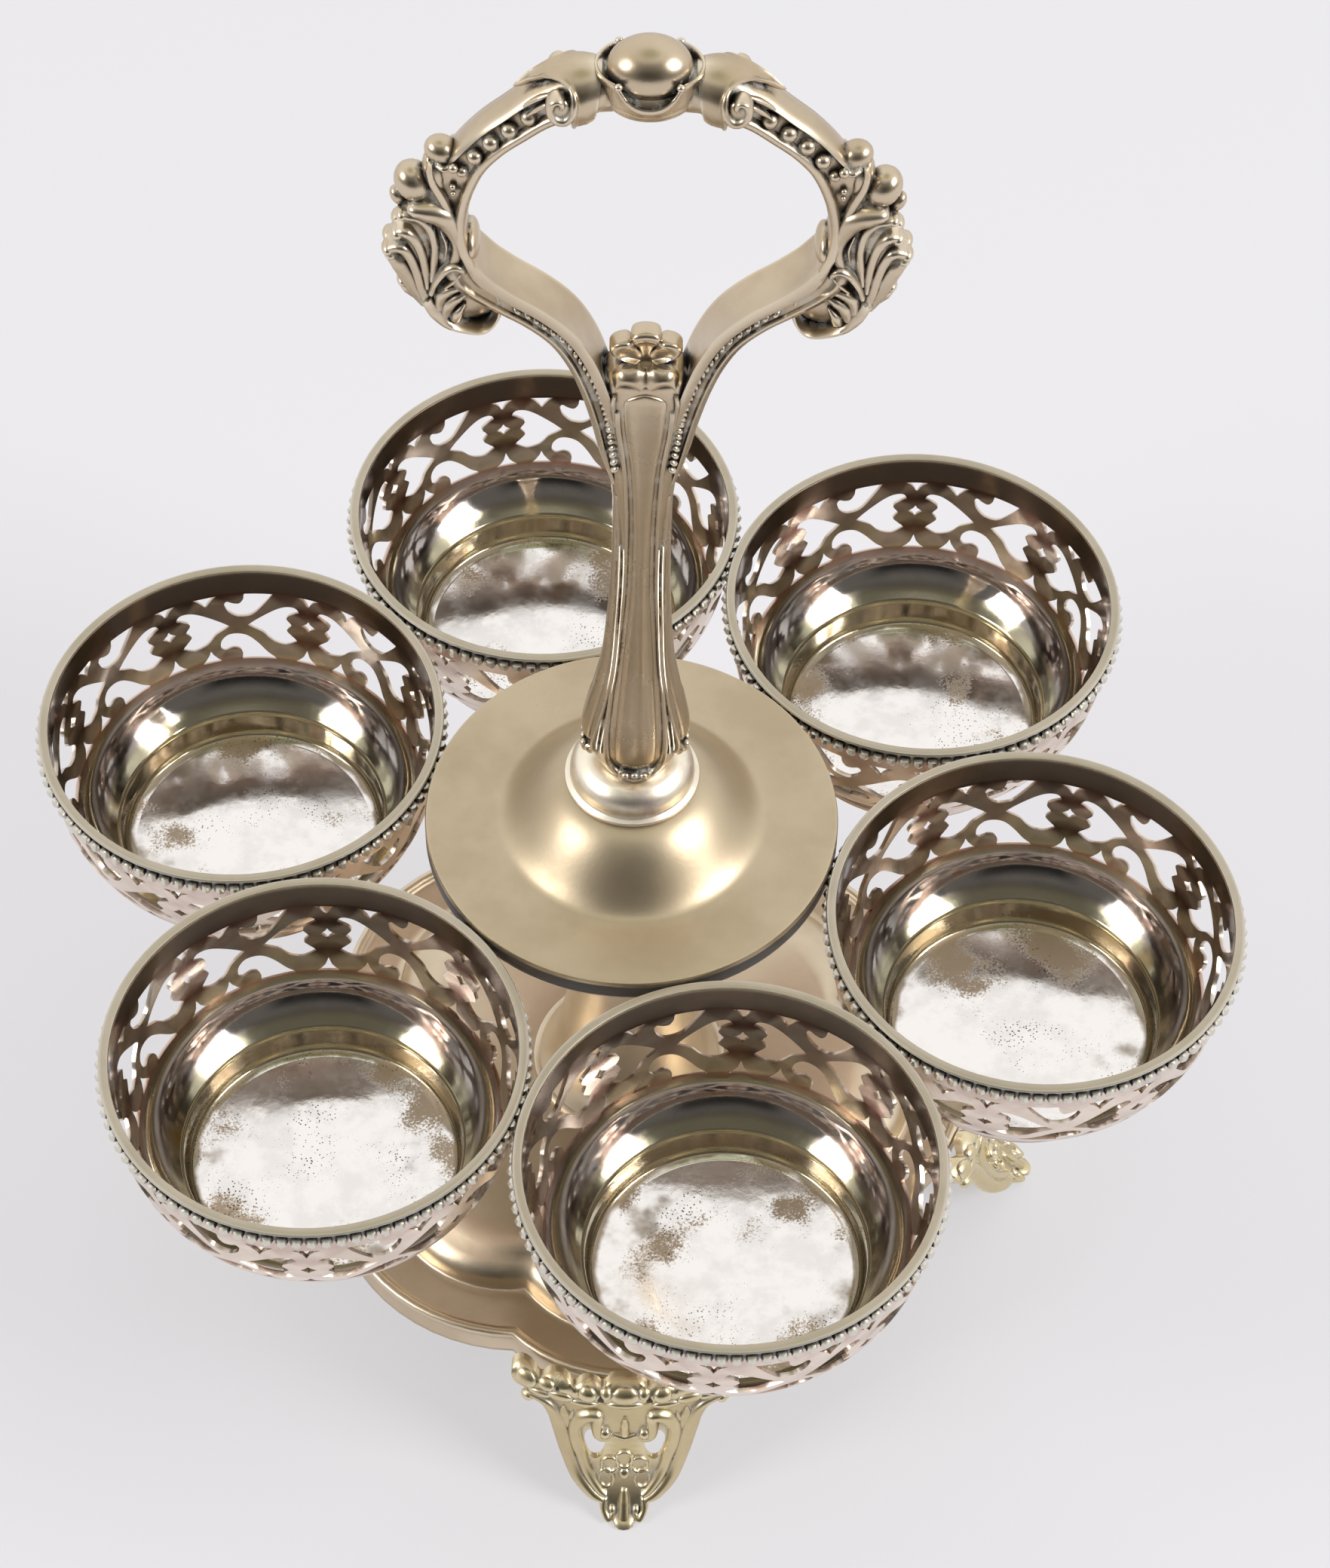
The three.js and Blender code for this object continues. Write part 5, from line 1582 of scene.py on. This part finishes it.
    def scroll(self) -> list:
        """Dished scroll under the shell leaf: a raised lip, with a ribbed leaf curled into its hollow."""
        lip = [(28.2, 211.6), (27.1, 209.3), (25.7, 207.5), (23.5, 206.4), (21.1, 206.2), (19.5, 207.8),
               (18.8, 210.3), (19.1, 212.5), (20.1, 213.5), (21.4, 213.9)]
        made = self.front(lip, (0.9, 1.0, 0.8, 0.6, 0.5, 0.42, 0.38, 0.36, 0.36, 0.3),
                          (1.2, 1.5, 1.5, 1.4, 1.4, 1.4, 1.3, 1.2, 1.0, 0.6), 1.8, sink=2.2)
        leaves = (([(26.7, 209.9), (26.2, 212.2), (24.9, 213.5), (23.0, 214.2), (21.4, 213.9)],
                   (0.9, 0.95, 0.9, 0.6, 0.25)),
                  ([(26.0, 208.7), (25.3, 210.7), (24.1, 212.0), (22.7, 212.9)], (1.0, 1.05, 0.85, 0.3)),
                  ([(24.7, 207.9), (24.2, 209.3), (23.3, 210.8)], (0.95, 0.85, 0.25)))
        for points, widths in leaves:
            made += self.front(points, widths, (1.0, 1.3, 1.2, 0.6), 1.8, sink=1.6)
        hook = [(27.5, 213.1), (26.8, 215.4), (25.6, 217.4), (24.4, 218.2), (23.5, 217.7), (23.3, 217.0)]
        made += self.front(hook, (0.35, 0.45, 0.55, 0.62, 0.6, 0.45), (0.7, 1.0, 1.1, 1.1, 1.0, 0.8), 2.6)
        made += self.front([(25.7, 214.1), (24.6, 215.3), (23.6, 216.6)], (0.2, 0.3, 0.2), (0.4, 0.6, 0.4),
                           2.6)
        return made

    def rope(self) -> list:
        """Twisted cord in the recess of the arm and down the side of the pillar."""
        made = []
        path = smooth_curve([(17.6, 211.2), (14.6, 209.2), (10.6, 205.1), (8.6, 201.6), (7.2, 198.6),
                             (5.95, 195.1), (5.0, 191.0), (4.45, 187.0), (3.7, 180.0)], 16)
        travelled = 0.0
        for here, there in zip(path, path[1:]):
            travelled += (there - here).length
            lower = min(max((205.0 - here.y) / 10, 0), 1)
            if travelled < lerp(1.45, 0.95, lower):
                continue
            travelled = 0.0
            along = there - here
            turn = Matrix.Rotation(-math.atan2(along.y, along.x) - lerp(0.35, 0.85, lower), 3, "Y")
            share = min(max((here.y - 178.5) / 12, 0), 1)
            made += self.casting.ball((here.x, -lerp(3.4, 2.95, share), here.y), (0.78, 0.72, 0.42), turn, 12)
        return made


@dataclass
class Pillar:
    """Round pillar: four tongue panels in ribbon borders that hook into clips, with milled lines between."""

    casting: Casting
    half_widths: tuple = (
        (115.0, 5.3), (116.2, 5.6), (117.2, 6.3), (118.5, 6.5), (120.0, 6.8), (122.0, 7.3), (124.5, 7.05),
        (127.3, 6.55), (133.2, 5.5), (138.9, 4.65), (147.5, 4.05), (155, 3.7), (161, 3.6), (169, 3.9),
        (176.7, 4.5), (184.4, 5.0), (191.4, 5.5), (196.6, 5.6), (197.6, 5.3), (198.5, 4.8), (199.0, 4.2))
    half_depths: tuple = half_widths[:13] + ((169, 3.6), (176.7, 3.65), (184.4, 3.8), (191.4, 4.0),
                                             (196.6, 3.9), (197.6, 3.3), (198.5, 2.3), (199.0, 1.0))
    powers: tuple = ((115, 2.0), (165, 2.0), (186, 3.4), (200, 3.6))
    tongue_widths: tuple = (
        (119.6, 2.7), (122, 2.95), (127, 2.95), (133, 2.6), (140, 2.2), (145, 1.9), (155, 1.35),
        (163, 1.25), (171, 1.3), (181, 1.75), (188.8, 2.6), (193.5, 2.8), (196, 2.8))
    palmette_reach: tuple = (
        (-90, 1.0), (0, 1.6), (9, 2.7), (15, 4.2), (21, 5.0), (28, 5.4), (36, 5.4), (44, 5.15), (52, 4.8),
        (58, 4.55), (62, 4.4), (66, 4.9), (72, 5.25), (80, 5.4), (90, 5.45))
    facets: int = 64

    def halves(self, z: float) -> tuple[float, float]:
        """Half width and half depth at a level."""
        return table_value(self.half_widths, z), table_value(self.half_depths, z)

    def out_at(self, x: float, z: float) -> float:
        """Reads how far the front surface stands out.

        Args:
            x: place across.
            z: level.

        Returns:
            Its distance from the middle plane.
        """
        half_x, half_y = self.halves(z)
        power = table_value(self.powers, z)
        return half_y * (1 - min(abs(x) / half_x, 0.999) ** power) ** (1 / power)

    def ring(self, z: float) -> list[Vector]:
        """Section of the pillar at a level."""
        half_x, half_y = self.halves(z)
        power = 2 / table_value(self.powers, z)
        ring = []
        for k in range(self.facets):
            c, s = math.cos(FULL_TURN * k / self.facets), math.sin(FULL_TURN * k / self.facets)
            ring.append(Vector((math.copysign(abs(c) ** power, c) * half_x,
                                math.copysign(abs(s) ** power, s) * half_y, z)))
        return ring

    def build(self) -> None:
        """Adds the pillar's shapes to the handle's casting."""
        levels = [115.0, 115.5, 116.2, 116.7, 117.2, 117.8, 118.5, 119.2, 120.0, 121.0, 122.0]
        levels += [122 + 2 * k for k in range(1, 38)] + [196.6, 197.1, 197.6, 198.1, 198.5, 198.8, 199.0]
        self.casting.loft([self.ring(z) for z in levels])
        front = self.panel(196.0) + self.clip() + self.cap()
        self.casting.turn_copy(front, 180)
        side = self.panel(178.0) + self.clip()
        self.casting.turn_copy(side, 90)
        for vert in side:
            vert.co = turned_about(-90, vert.co)
        milled = self.milling()
        for turn in (90, 180, 270):
            self.casting.turn_copy(milled, turn)

    def laid(self, points: Points, widths: Numbers, heights: Numbers) -> list:
        """Lays a stroke on the front surface.

        Args:
            points: its places, x across and z up.
            widths: half widths from start to end.
            heights: heights from start to end.

        Returns:
            The new vertices.
        """
        path = [Vector((x, -self.out_at(x, z), z)) for x, z in points]

        def outward(point: Vector) -> Vector:
            """Direction away from the pillar at a point."""
            half_x, half_y = self.halves(point.z)
            return Vector((point.x / half_x**2, point.y / half_y**2, 0))

        return self.casting.stroke(path, widths, heights, up=outward, sink=1.0)

    def panel(self, top: float) -> list:
        """Tongue with rounded ends and the ribbon on each side of it.

        Args:
            top: level of its upper end.

        Returns:
            The new vertices.
        """
        low, low_round, top_round = 119.5, 2.6, 1.8
        levels = [low + low_round * (1 - math.cos(math.pi / 2 * k / 8)) for k in range(8)]
        levels += [lerp(low + low_round, top - top_round, k / 40) for k in range(41)]
        levels += [top - top_round + top_round * math.sin(math.pi / 2 * k / 6) for k in range(1, 7)]
        widths, heights = [], []
        for z in levels:
            near_low = min((z - low) / low_round, 1.0)
            near_top = min((top - z) / top_round, 1.0)
            end = math.sqrt(max(1 - (1 - near_low) ** 2, 0.0)) * math.sqrt(max(1 - (1 - near_top) ** 2, 0.0))
            widths.append(max(table_value(self.tongue_widths, z) * min(1.0, 0.45 + end * 0.55) * end, 0.03))
            heights.append((0.62 if z < 130 else 0.5) * (0.3 + 0.7 * end))
        return self.level_stroke(levels, widths, heights) + self.ribbons(top)

    def level_stroke(self, levels: Numbers, widths: Numbers, heights: Numbers) -> list:
        """Convex strip up the middle of the front.

        Args:
            levels: levels from foot to tip.
            widths: half width at each level.
            heights: height above the surface at each level.

        Returns:
            The new vertices.
        """
        rings = []
        for z, half, height in zip(levels, widths, heights):
            ring = []
            for k in range(13):
                x = half * math.cos(math.pi * k / 12)
                ring.append(Vector((x, -self.out_at(x, z) - height * math.sin(math.pi * k / 12) ** 0.8, z)))
            ring.append(Vector((-half * 0.9, -self.out_at(half, z) + 0.9, z)))
            ring.append(Vector((half * 0.9, -self.out_at(half, z) + 0.9, z)))
            rings.append(ring)
        return self.casting.loft(rings)

    def ribbons(self, top: float) -> list:
        """Narrow border on both sides of the tongue, from the clip up to the cap.

        Args:
            top: level of the tongue's upper end.

        Returns:
            The new vertices.
        """
        made = []
        gaps = ((124, 1.2), (150, 0.78), (196, 0.85))
        for side in (1, -1):
            upper = [lerp(124, top - 3.5, k / 26) for k in range(27)]
            points = [(0.6, 117.7), (1.6, 117.9), (2.7, 118.6), (3.6, 119.8), (4.05, 121.4)]
            points += [(table_value(self.tongue_widths, z) + table_value(gaps, z), z) for z in upper]
            path = [(side * p.x, p.y) for p in smooth_curve(points, 2)]
            count = len(path)
            widths = [table_value(((0, 0.5), (0.12, 0.5), (0.3, 0.38), (0.6, 0.3), (1, 0.45)), k / count)
                      for k in range(count)]
            lifts = [table_value(((0, 1.25), (0.08, 0.9), (0.16, 0.6), (0.4, 0.42), (1, 0.45)), k / count)
                     for k in range(count)]
            made += self.laid(path, widths, lifts)
        return made

    def clip(self) -> list:
        """Curled clip that holds the tongue's lower end."""
        curl = smooth_curve([(-2.2, -6.9, 118.9), (-1.5, -7.3, 118.1), (0, -7.45, 117.7),
                             (1.5, -7.3, 118.1), (2.2, -6.9, 118.9)], 4)
        made = self.casting.stroke(curl, (0.35, 0.8, 0.95, 0.8, 0.35), (0.3, 0.5, 0.55, 0.5, 0.3),
                                   up=lambda _: Vector((0, -1, -0.1)), sink=1.2)
        for x in (-1.35, 0, 1.35):
            made += self.casting.ball((x, -7.5, 118.75), (0.62, 0.55, 0.55), segments=12)
        return made

    def milling(self) -> list:
        """Two lines of fine milled beads between two panels."""
        made = []
        low, high, pitch, gap = 121.6, 164, 0.16, 0.42
        count = int((high - low) / pitch)
        for spread in (-gap, gap):
            path = []
            for k in range(count + 1):
                z = low + pitch * k
                radius = sum(self.halves(z)) / 2 + 0.05
                azimuth = math.radians(-45) + spread / radius
                path.append(Vector((radius * math.cos(azimuth), radius * math.sin(azimuth), z)))
            heights = [0.3 if k % 2 else 0.12 for k in range(count + 1)]
            made += self.casting.stroke(path, (0.2, 0.2), heights, up=lambda p: Vector((p.x, p.y, 0)),
                                        sink=0.4)
        return made

    def cap(self) -> list:
        """Bracket moulding over the front panel, and the palmette above it."""
        low = ((0, 195.3), (0.5, 195.45), (1.1, 196.2), (1.8, 196.95), (2.6, 197.2), (3.3, 196.9),
               (3.8, 196.0), (4.1, 194.6), (4.4, 193.0))
        half = 4.35
        rings = []
        for k in range(57):
            x = half * math.sin(math.pi * (k / 56 - 0.5))
            out = abs(x) / half
            bottom = table_value(low, abs(x))
            top = 199.5 - 0.6 * math.exp(-(x / 0.7) ** 2) - 1.2 * out**6
            bulge = 1.25 * (1 - 0.55 * out**4) - 0.28 * math.exp(-(x / 0.8) ** 2)
            ring = []
            for step in range(13):
                share = step / 12
                lift = math.sin(math.pi * min(share * 0.92 + 0.04, 1)) ** 0.55
                ring.append(Vector((x, -3.15 - bulge * lift + share * 0.9, lerp(bottom, top, share))))
            ring += [Vector((x, -1.2, top - 0.4)), Vector((x, -1.2, bottom + 0.2))]
            rings.append(ring)
        parts = self.casting.loft(rings)
        edge = ((3.85, 189.5), (4.1, 192.0), (4.2, 194.0), (4.0, 195.6))
        for side in (1, -1):
            strip = smooth_curve([(side * x, -3.55, z) for x, z in edge], 4)
            parts += self.casting.stroke(strip, (0.25, 0.35, 0.4, 0.3), (0.3, 0.5, 0.7, 0.7), sink=1.4)
        return parts + self.palmette()

    def palmette(self) -> list:
        """Leaf of three lobes with rounded edges, dished towards the middle of its foot."""
        foot = Vector((0, 0, 199.1))
        rings = []
        edge = (
            (1.0, 0.0), (1.0, 0.75), (0.985, 1.1), (0.95, 1.36), (0.9, 1.5), (0.84, 1.52), (0.77, 1.42),
            (0.68, 1.15), (0.58, 0.9), (0.45, 0.72), (0.3, 0.66), (0.15, 0.62), (0.02, 0.6))
        for share, depth in edge:
            ring = []
            for k in range(120):
                turn = -90 + 3 * k
                half = turn if turn <= 90 else 180 - turn
                reach = table_value(self.palmette_reach, half)
                notch = math.exp(-((half - 62) / 4.5) ** 2) * (depth > 0.7) * (share > 0.4) * 0.6
                ray = Vector((math.cos(math.radians(turn)), 0, math.sin(math.radians(turn))))
                ring.append(foot + ray * (reach * share) + Vector((0, notch - depth, 0)))
            rings.append(ring)
        return self.casting.loft(rings)


@dataclass
class Handle:
    """The cast handle: pillar, arms and loop in one piece, which leans a little."""

    lean: tuple = ((110, 0.15), (122, 0.4), (155, 0.85), (178, 1.05), (200, 1.2), (255, 1.2))

    def build(self, finish: Material) -> None:
        """Makes the handle and dresses it."""
        casting = Casting("cast_handle")
        Pillar(casting).build()
        Loop(casting).build()
        for vert in casting.bm.verts:
            vert.co.x += table_value(self.lean, vert.co.z)
        settle(casting.to_object(crease=55), Body.STAND, Slot.CAST, finish, ["handle"])


# Studio


@dataclass
class Studio:
    """Floor, lights and camera."""

    camera_place: Vector = field(default_factory=lambda: Vector((0, -361.4, 580.6)) * MM)
    pitch: float = 0.9189
    yaw: float = 0.0136
    roll: float = -0.022
    lens: float = 91.79
    sensor: float = 36.0
    floor_colour: Colour = (0.31, 0.305, 0.316)
    floor_glow: Colour = (0.455, 0.448, 0.465)
    backdrop: Colour = (0.80, 0.795, 0.81)
    walls: Colour = (0.17, 0.165, 0.15)
    back_wall: Colour = (0.92, 0.92, 0.91)
    ceiling: Colour = (1.02, 1.02, 1.01)
    dark_front: Colour = (0.03, 0.03, 0.03)
    upper_front: Colour = (0.95, 0.94, 0.9)
    overhead: Colour = (0.5, 0.53, 0.36)

    def camera(self) -> None:
        """Stands the camera at the photograph's viewing angle."""
        data = bpy.data.cameras.new("studio_camera")
        data.sensor_fit = "VERTICAL"
        data.sensor_height = self.sensor
        data.lens = self.lens
        data.clip_start = 0.01
        data.clip_end = 20
        forward = Vector((math.sin(self.yaw) * math.cos(self.pitch),
                          math.cos(self.yaw) * math.cos(self.pitch), -math.sin(self.pitch)))
        right = Vector((math.cos(self.yaw), -math.sin(self.yaw), 0))
        down = forward.cross(right)
        level = right * math.cos(self.roll) + down * math.sin(self.roll)
        drop = down * math.cos(self.roll) - right * math.sin(self.roll)
        turn = Matrix((level, -drop, -forward)).transposed()
        camera = bpy.data.objects.new("studio_camera", data)
        camera.matrix_world = Matrix.Translation(self.camera_place) @ turn.to_4x4()
        bpy.context.scene.collection.objects.link(camera)
        bpy.context.scene.camera = camera

    def floor(self) -> None:
        """Lays a plain pale floor."""
        bm = bmesh.new()
        bmesh.ops.create_grid(bm, x_segments=1, y_segments=1, size=3)
        mesh = bpy.data.meshes.new("studio_floor")
        bm.to_mesh(mesh)
        bm.free()
        floor = bpy.data.objects.new("studio_floor", mesh)
        bpy.context.scene.collection.objects.link(floor)
        material, graph, shader = new_material("pale_paper")
        shader.inputs["Base Color"].default_value = (*self.floor_colour, 1)
        shader.inputs["Roughness"].default_value = 0.9
        path = graph.add("ShaderNodeLightPath")
        seen = graph.math("ADD", path.outputs["Is Camera Ray"], path.outputs["Is Glossy Ray"], clamp=True)
        shader.inputs["Emission Color"].default_value = (*self.floor_glow, 1)
        graph.feed(shader.inputs["Emission Strength"], seen)
        mesh.materials.append(material)

    def world(self) -> None:
        """Fills the room with a soft gradient."""
        world = bpy.data.worlds.new("studio_room")
        world.use_nodes = True
        bpy.context.scene.world = world
        graph = Graph(world.node_tree)
        sky = world.node_tree.nodes["Background"]
        direction = graph.add("ShaderNodeTexCoord").outputs["Generated"]
        split = graph.add("ShaderNodeSeparateXYZ", {0: direction})
        across, away, up = (split.outputs[name] for name in "XYZ")
        raised = graph.step(up, 0.08, 0.5)
        back = graph.math("MULTIPLY", graph.step(away, -0.3, 0.4), raised)
        colour = graph.blend(graph.step(away, -0.35, 0.3), self.walls, self.back_wall)
        colour = graph.blend(back, colour, self.ceiling)
        above = graph.math("MULTIPLY", graph.step(away, 0.0, 0.3, 1.0, 0.0), graph.step(up, 0.74, 0.92))
        colour = graph.blend(above, colour, self.upper_front)
        colour = graph.blend(graph.step(up, 0.93, 0.985), colour, self.overhead)
        front = graph.step(graph.math("MULTIPLY", away, -1.0), 0.25, 0.5)
        narrow = graph.step(graph.math("ABSOLUTE", across), 0.3, 0.55, 1.0, 0.0)
        shade = graph.math("MULTIPLY", front, narrow)
        shade = graph.math("MULTIPLY", shade, graph.step(up, 0.42, 0.6, 1.0, 0.0))
        colour = graph.blend(shade, colour, self.dark_front)
        seen = graph.add("ShaderNodeLightPath").outputs["Is Camera Ray"]
        graph.feed(sky.inputs["Color"], graph.blend(seen, colour, self.backdrop))
        sky.inputs["Strength"].default_value = 1.0

    def lamp(self, name: str, place: Point, aim: Point, size: tuple[float, float], power: float) -> None:
        """Hangs a soft box.

        Args:
            name: the lamp's name.
            place: its middle in metres.
            aim: point that it faces.
            size: width and height in metres.
            power: watts.
        """
        data = bpy.data.lights.new(name, "AREA")
        data.shape = "RECTANGLE"
        data.size, data.size_y = size
        data.energy = power
        lamp = bpy.data.objects.new(name, data)
        turn = (Vector(aim) - Vector(place)).to_track_quat("-Z", "Y").to_matrix().to_4x4()
        lamp.matrix_world = Matrix.Translation(Vector(place)) @ turn
        bpy.context.scene.collection.objects.link(lamp)

    def build(self) -> None:
        """Sets up the studio."""
        self.camera()
        self.floor()
        self.world()
        self.lamp("key_soft_box", (1.7, -0.6, 1.3), (0, 0, 0.1), (0.85, 0.75), 30)
        self.lamp("side_soft_box", (-1.8, -0.7, 1.3), (0, 0, 0.1), (0.85, 0.75), 22)
        bpy.context.scene.view_settings.view_transform = "Standard"


# The whole stand

SATIN_PLATE = PlateFinish("satin_silver", (0.68, 0.57, 0.42), (0.59, 0.48, 0.34), (0.045, 0.035, 0.03),
                          (0.74, 0.64, 0.48), roughness=0.32, cloud_roughness=0.4, grime_start=0.36)
DISC_PLATE = PlateFinish("frosted_silver", (0.56, 0.46, 0.32), (0.49, 0.395, 0.268), (0.03, 0.028, 0.025),
                         (0.62, 0.53, 0.38), roughness=0.4, cloud_roughness=0.46, speck_share=0.2, zones=(
                             Zone(80.0, 98.7, (0.025, 0.025, 0.028), 0.45, softness=0.15, metallic=0.2,
                                  strength=0.93),
                             Zone(95.4, 96.25, (0.66, 0.58, 0.46), 0.3, softness=0.1)))
POLISHED_PLATE = PlateFinish("polished_silver", (0.97, 0.88, 0.72), (0.50, 0.38, 0.36), (0.06, 0.045, 0.045),
                             (0.95, 0.88, 0.74), cloud_start=0.62, cloud_scale=110, roughness=0.36,
                             cloud_roughness=0.42)
CAST_PLATE = PlateFinish("cast_silver", (0.62, 0.51, 0.37), (0.52, 0.41, 0.28), (0.035, 0.03, 0.026),
                         (0.80, 0.70, 0.55), grime_reach=1.3, grime_start=0.36, residue_share=0.46,
                         roughness=0.27, cloud_roughness=0.34)
FOOT_PLATE = PlateFinish("foot_gilt", (0.66, 0.55, 0.32), (0.56, 0.45, 0.27), (0.07, 0.055, 0.035),
                         (0.82, 0.72, 0.48), residue=(0.66, 0.64, 0.60), grime_reach=1.2,
                         residue_share=0.58, roughness=0.27, cloud_roughness=0.36)
RIM_PLATE = PlateFinish("brushed_silver", (0.50, 0.43, 0.33), (0.42, 0.36, 0.26), (0.02, 0.02, 0.022),
                        (0.80, 0.76, 0.68), grime_reach=0.9, grime_start=0.34, roughness=0.36,
                        cloud_roughness=0.42, ring_height=0.012,
                        zones=(Zone(90.0, 98.75, (0.72, 0.69, 0.62), 0.3, softness=0.1),))
CUP_PLATE = CupFinish()
BUSH_BRASS = PlateFinish("turned_brass", (0.69, 0.55, 0.29), (0.5, 0.38, 0.2), (0.1, 0.07, 0.04),
                         (0.8, 0.66, 0.36))
ROD_STEEL = PlateFinish("dull_steel", (0.42, 0.42, 0.43), (0.33, 0.32, 0.32), (0.05, 0.05, 0.05),
                        (0.55, 0.55, 0.56))


@dataclass
class CruetStand:
    """All sub-assemblies of the stand."""

    first_cup_azimuth: float = -76.55
    pattern_turns: tuple = (85.5, 90.5, 74.0, 105.0, 89.0, 74.5)

    def dress_nodes(self, names: Sequence[str], material: Material) -> None:
        """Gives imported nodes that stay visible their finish."""
        for name in names:
            piece = bpy.data.objects[name]
            for slot in piece.material_slots:
                slot.material = material

    def build(self) -> None:
        """Builds every piece in order."""
        kit = WearKit.build()
        satin, cast = SATIN_PLATE.build(kit), CAST_PLATE.build(kit)
        cup_finish, rim_finish = CUP_PLATE.build(kit), RIM_PLATE.build(kit)
        foot_finish = FOOT_PLATE.build(kit)
        Tray().build(satin)
        Column().build(satin)
        for name, azimuth in (("foot_right", 0), ("foot_back", 90), ("foot_left", 180), ("foot_front", -90)):
            Foot(name, azimuth).build(foot_finish)
        Collar().build(POLISHED_PLATE.build(kit))
        Handle().build(cast)
        Disc().build(DISC_PLATE.build(kit))
        for i, turn in enumerate(self.pattern_turns):
            Cup(i + 1, self.first_cup_azimuth - 60 * i, turn).build(cup_finish, rim_finish)
        self.dress_nodes(("hub_bush", "bearing_washer"), BUSH_BRASS.build(kit))
        self.dress_nodes(("tie_rod", "base_washer", "base_nut"), ROD_STEEL.build(kit))


def main() -> None:
    """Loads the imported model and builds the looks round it."""
    logging.basicConfig(level=logging.INFO, format="%(name)s: %(message)s")
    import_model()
    Studio().build()
    CruetStand().build()
    LOG.info("size written")


if __name__ == "__main__":
    main()
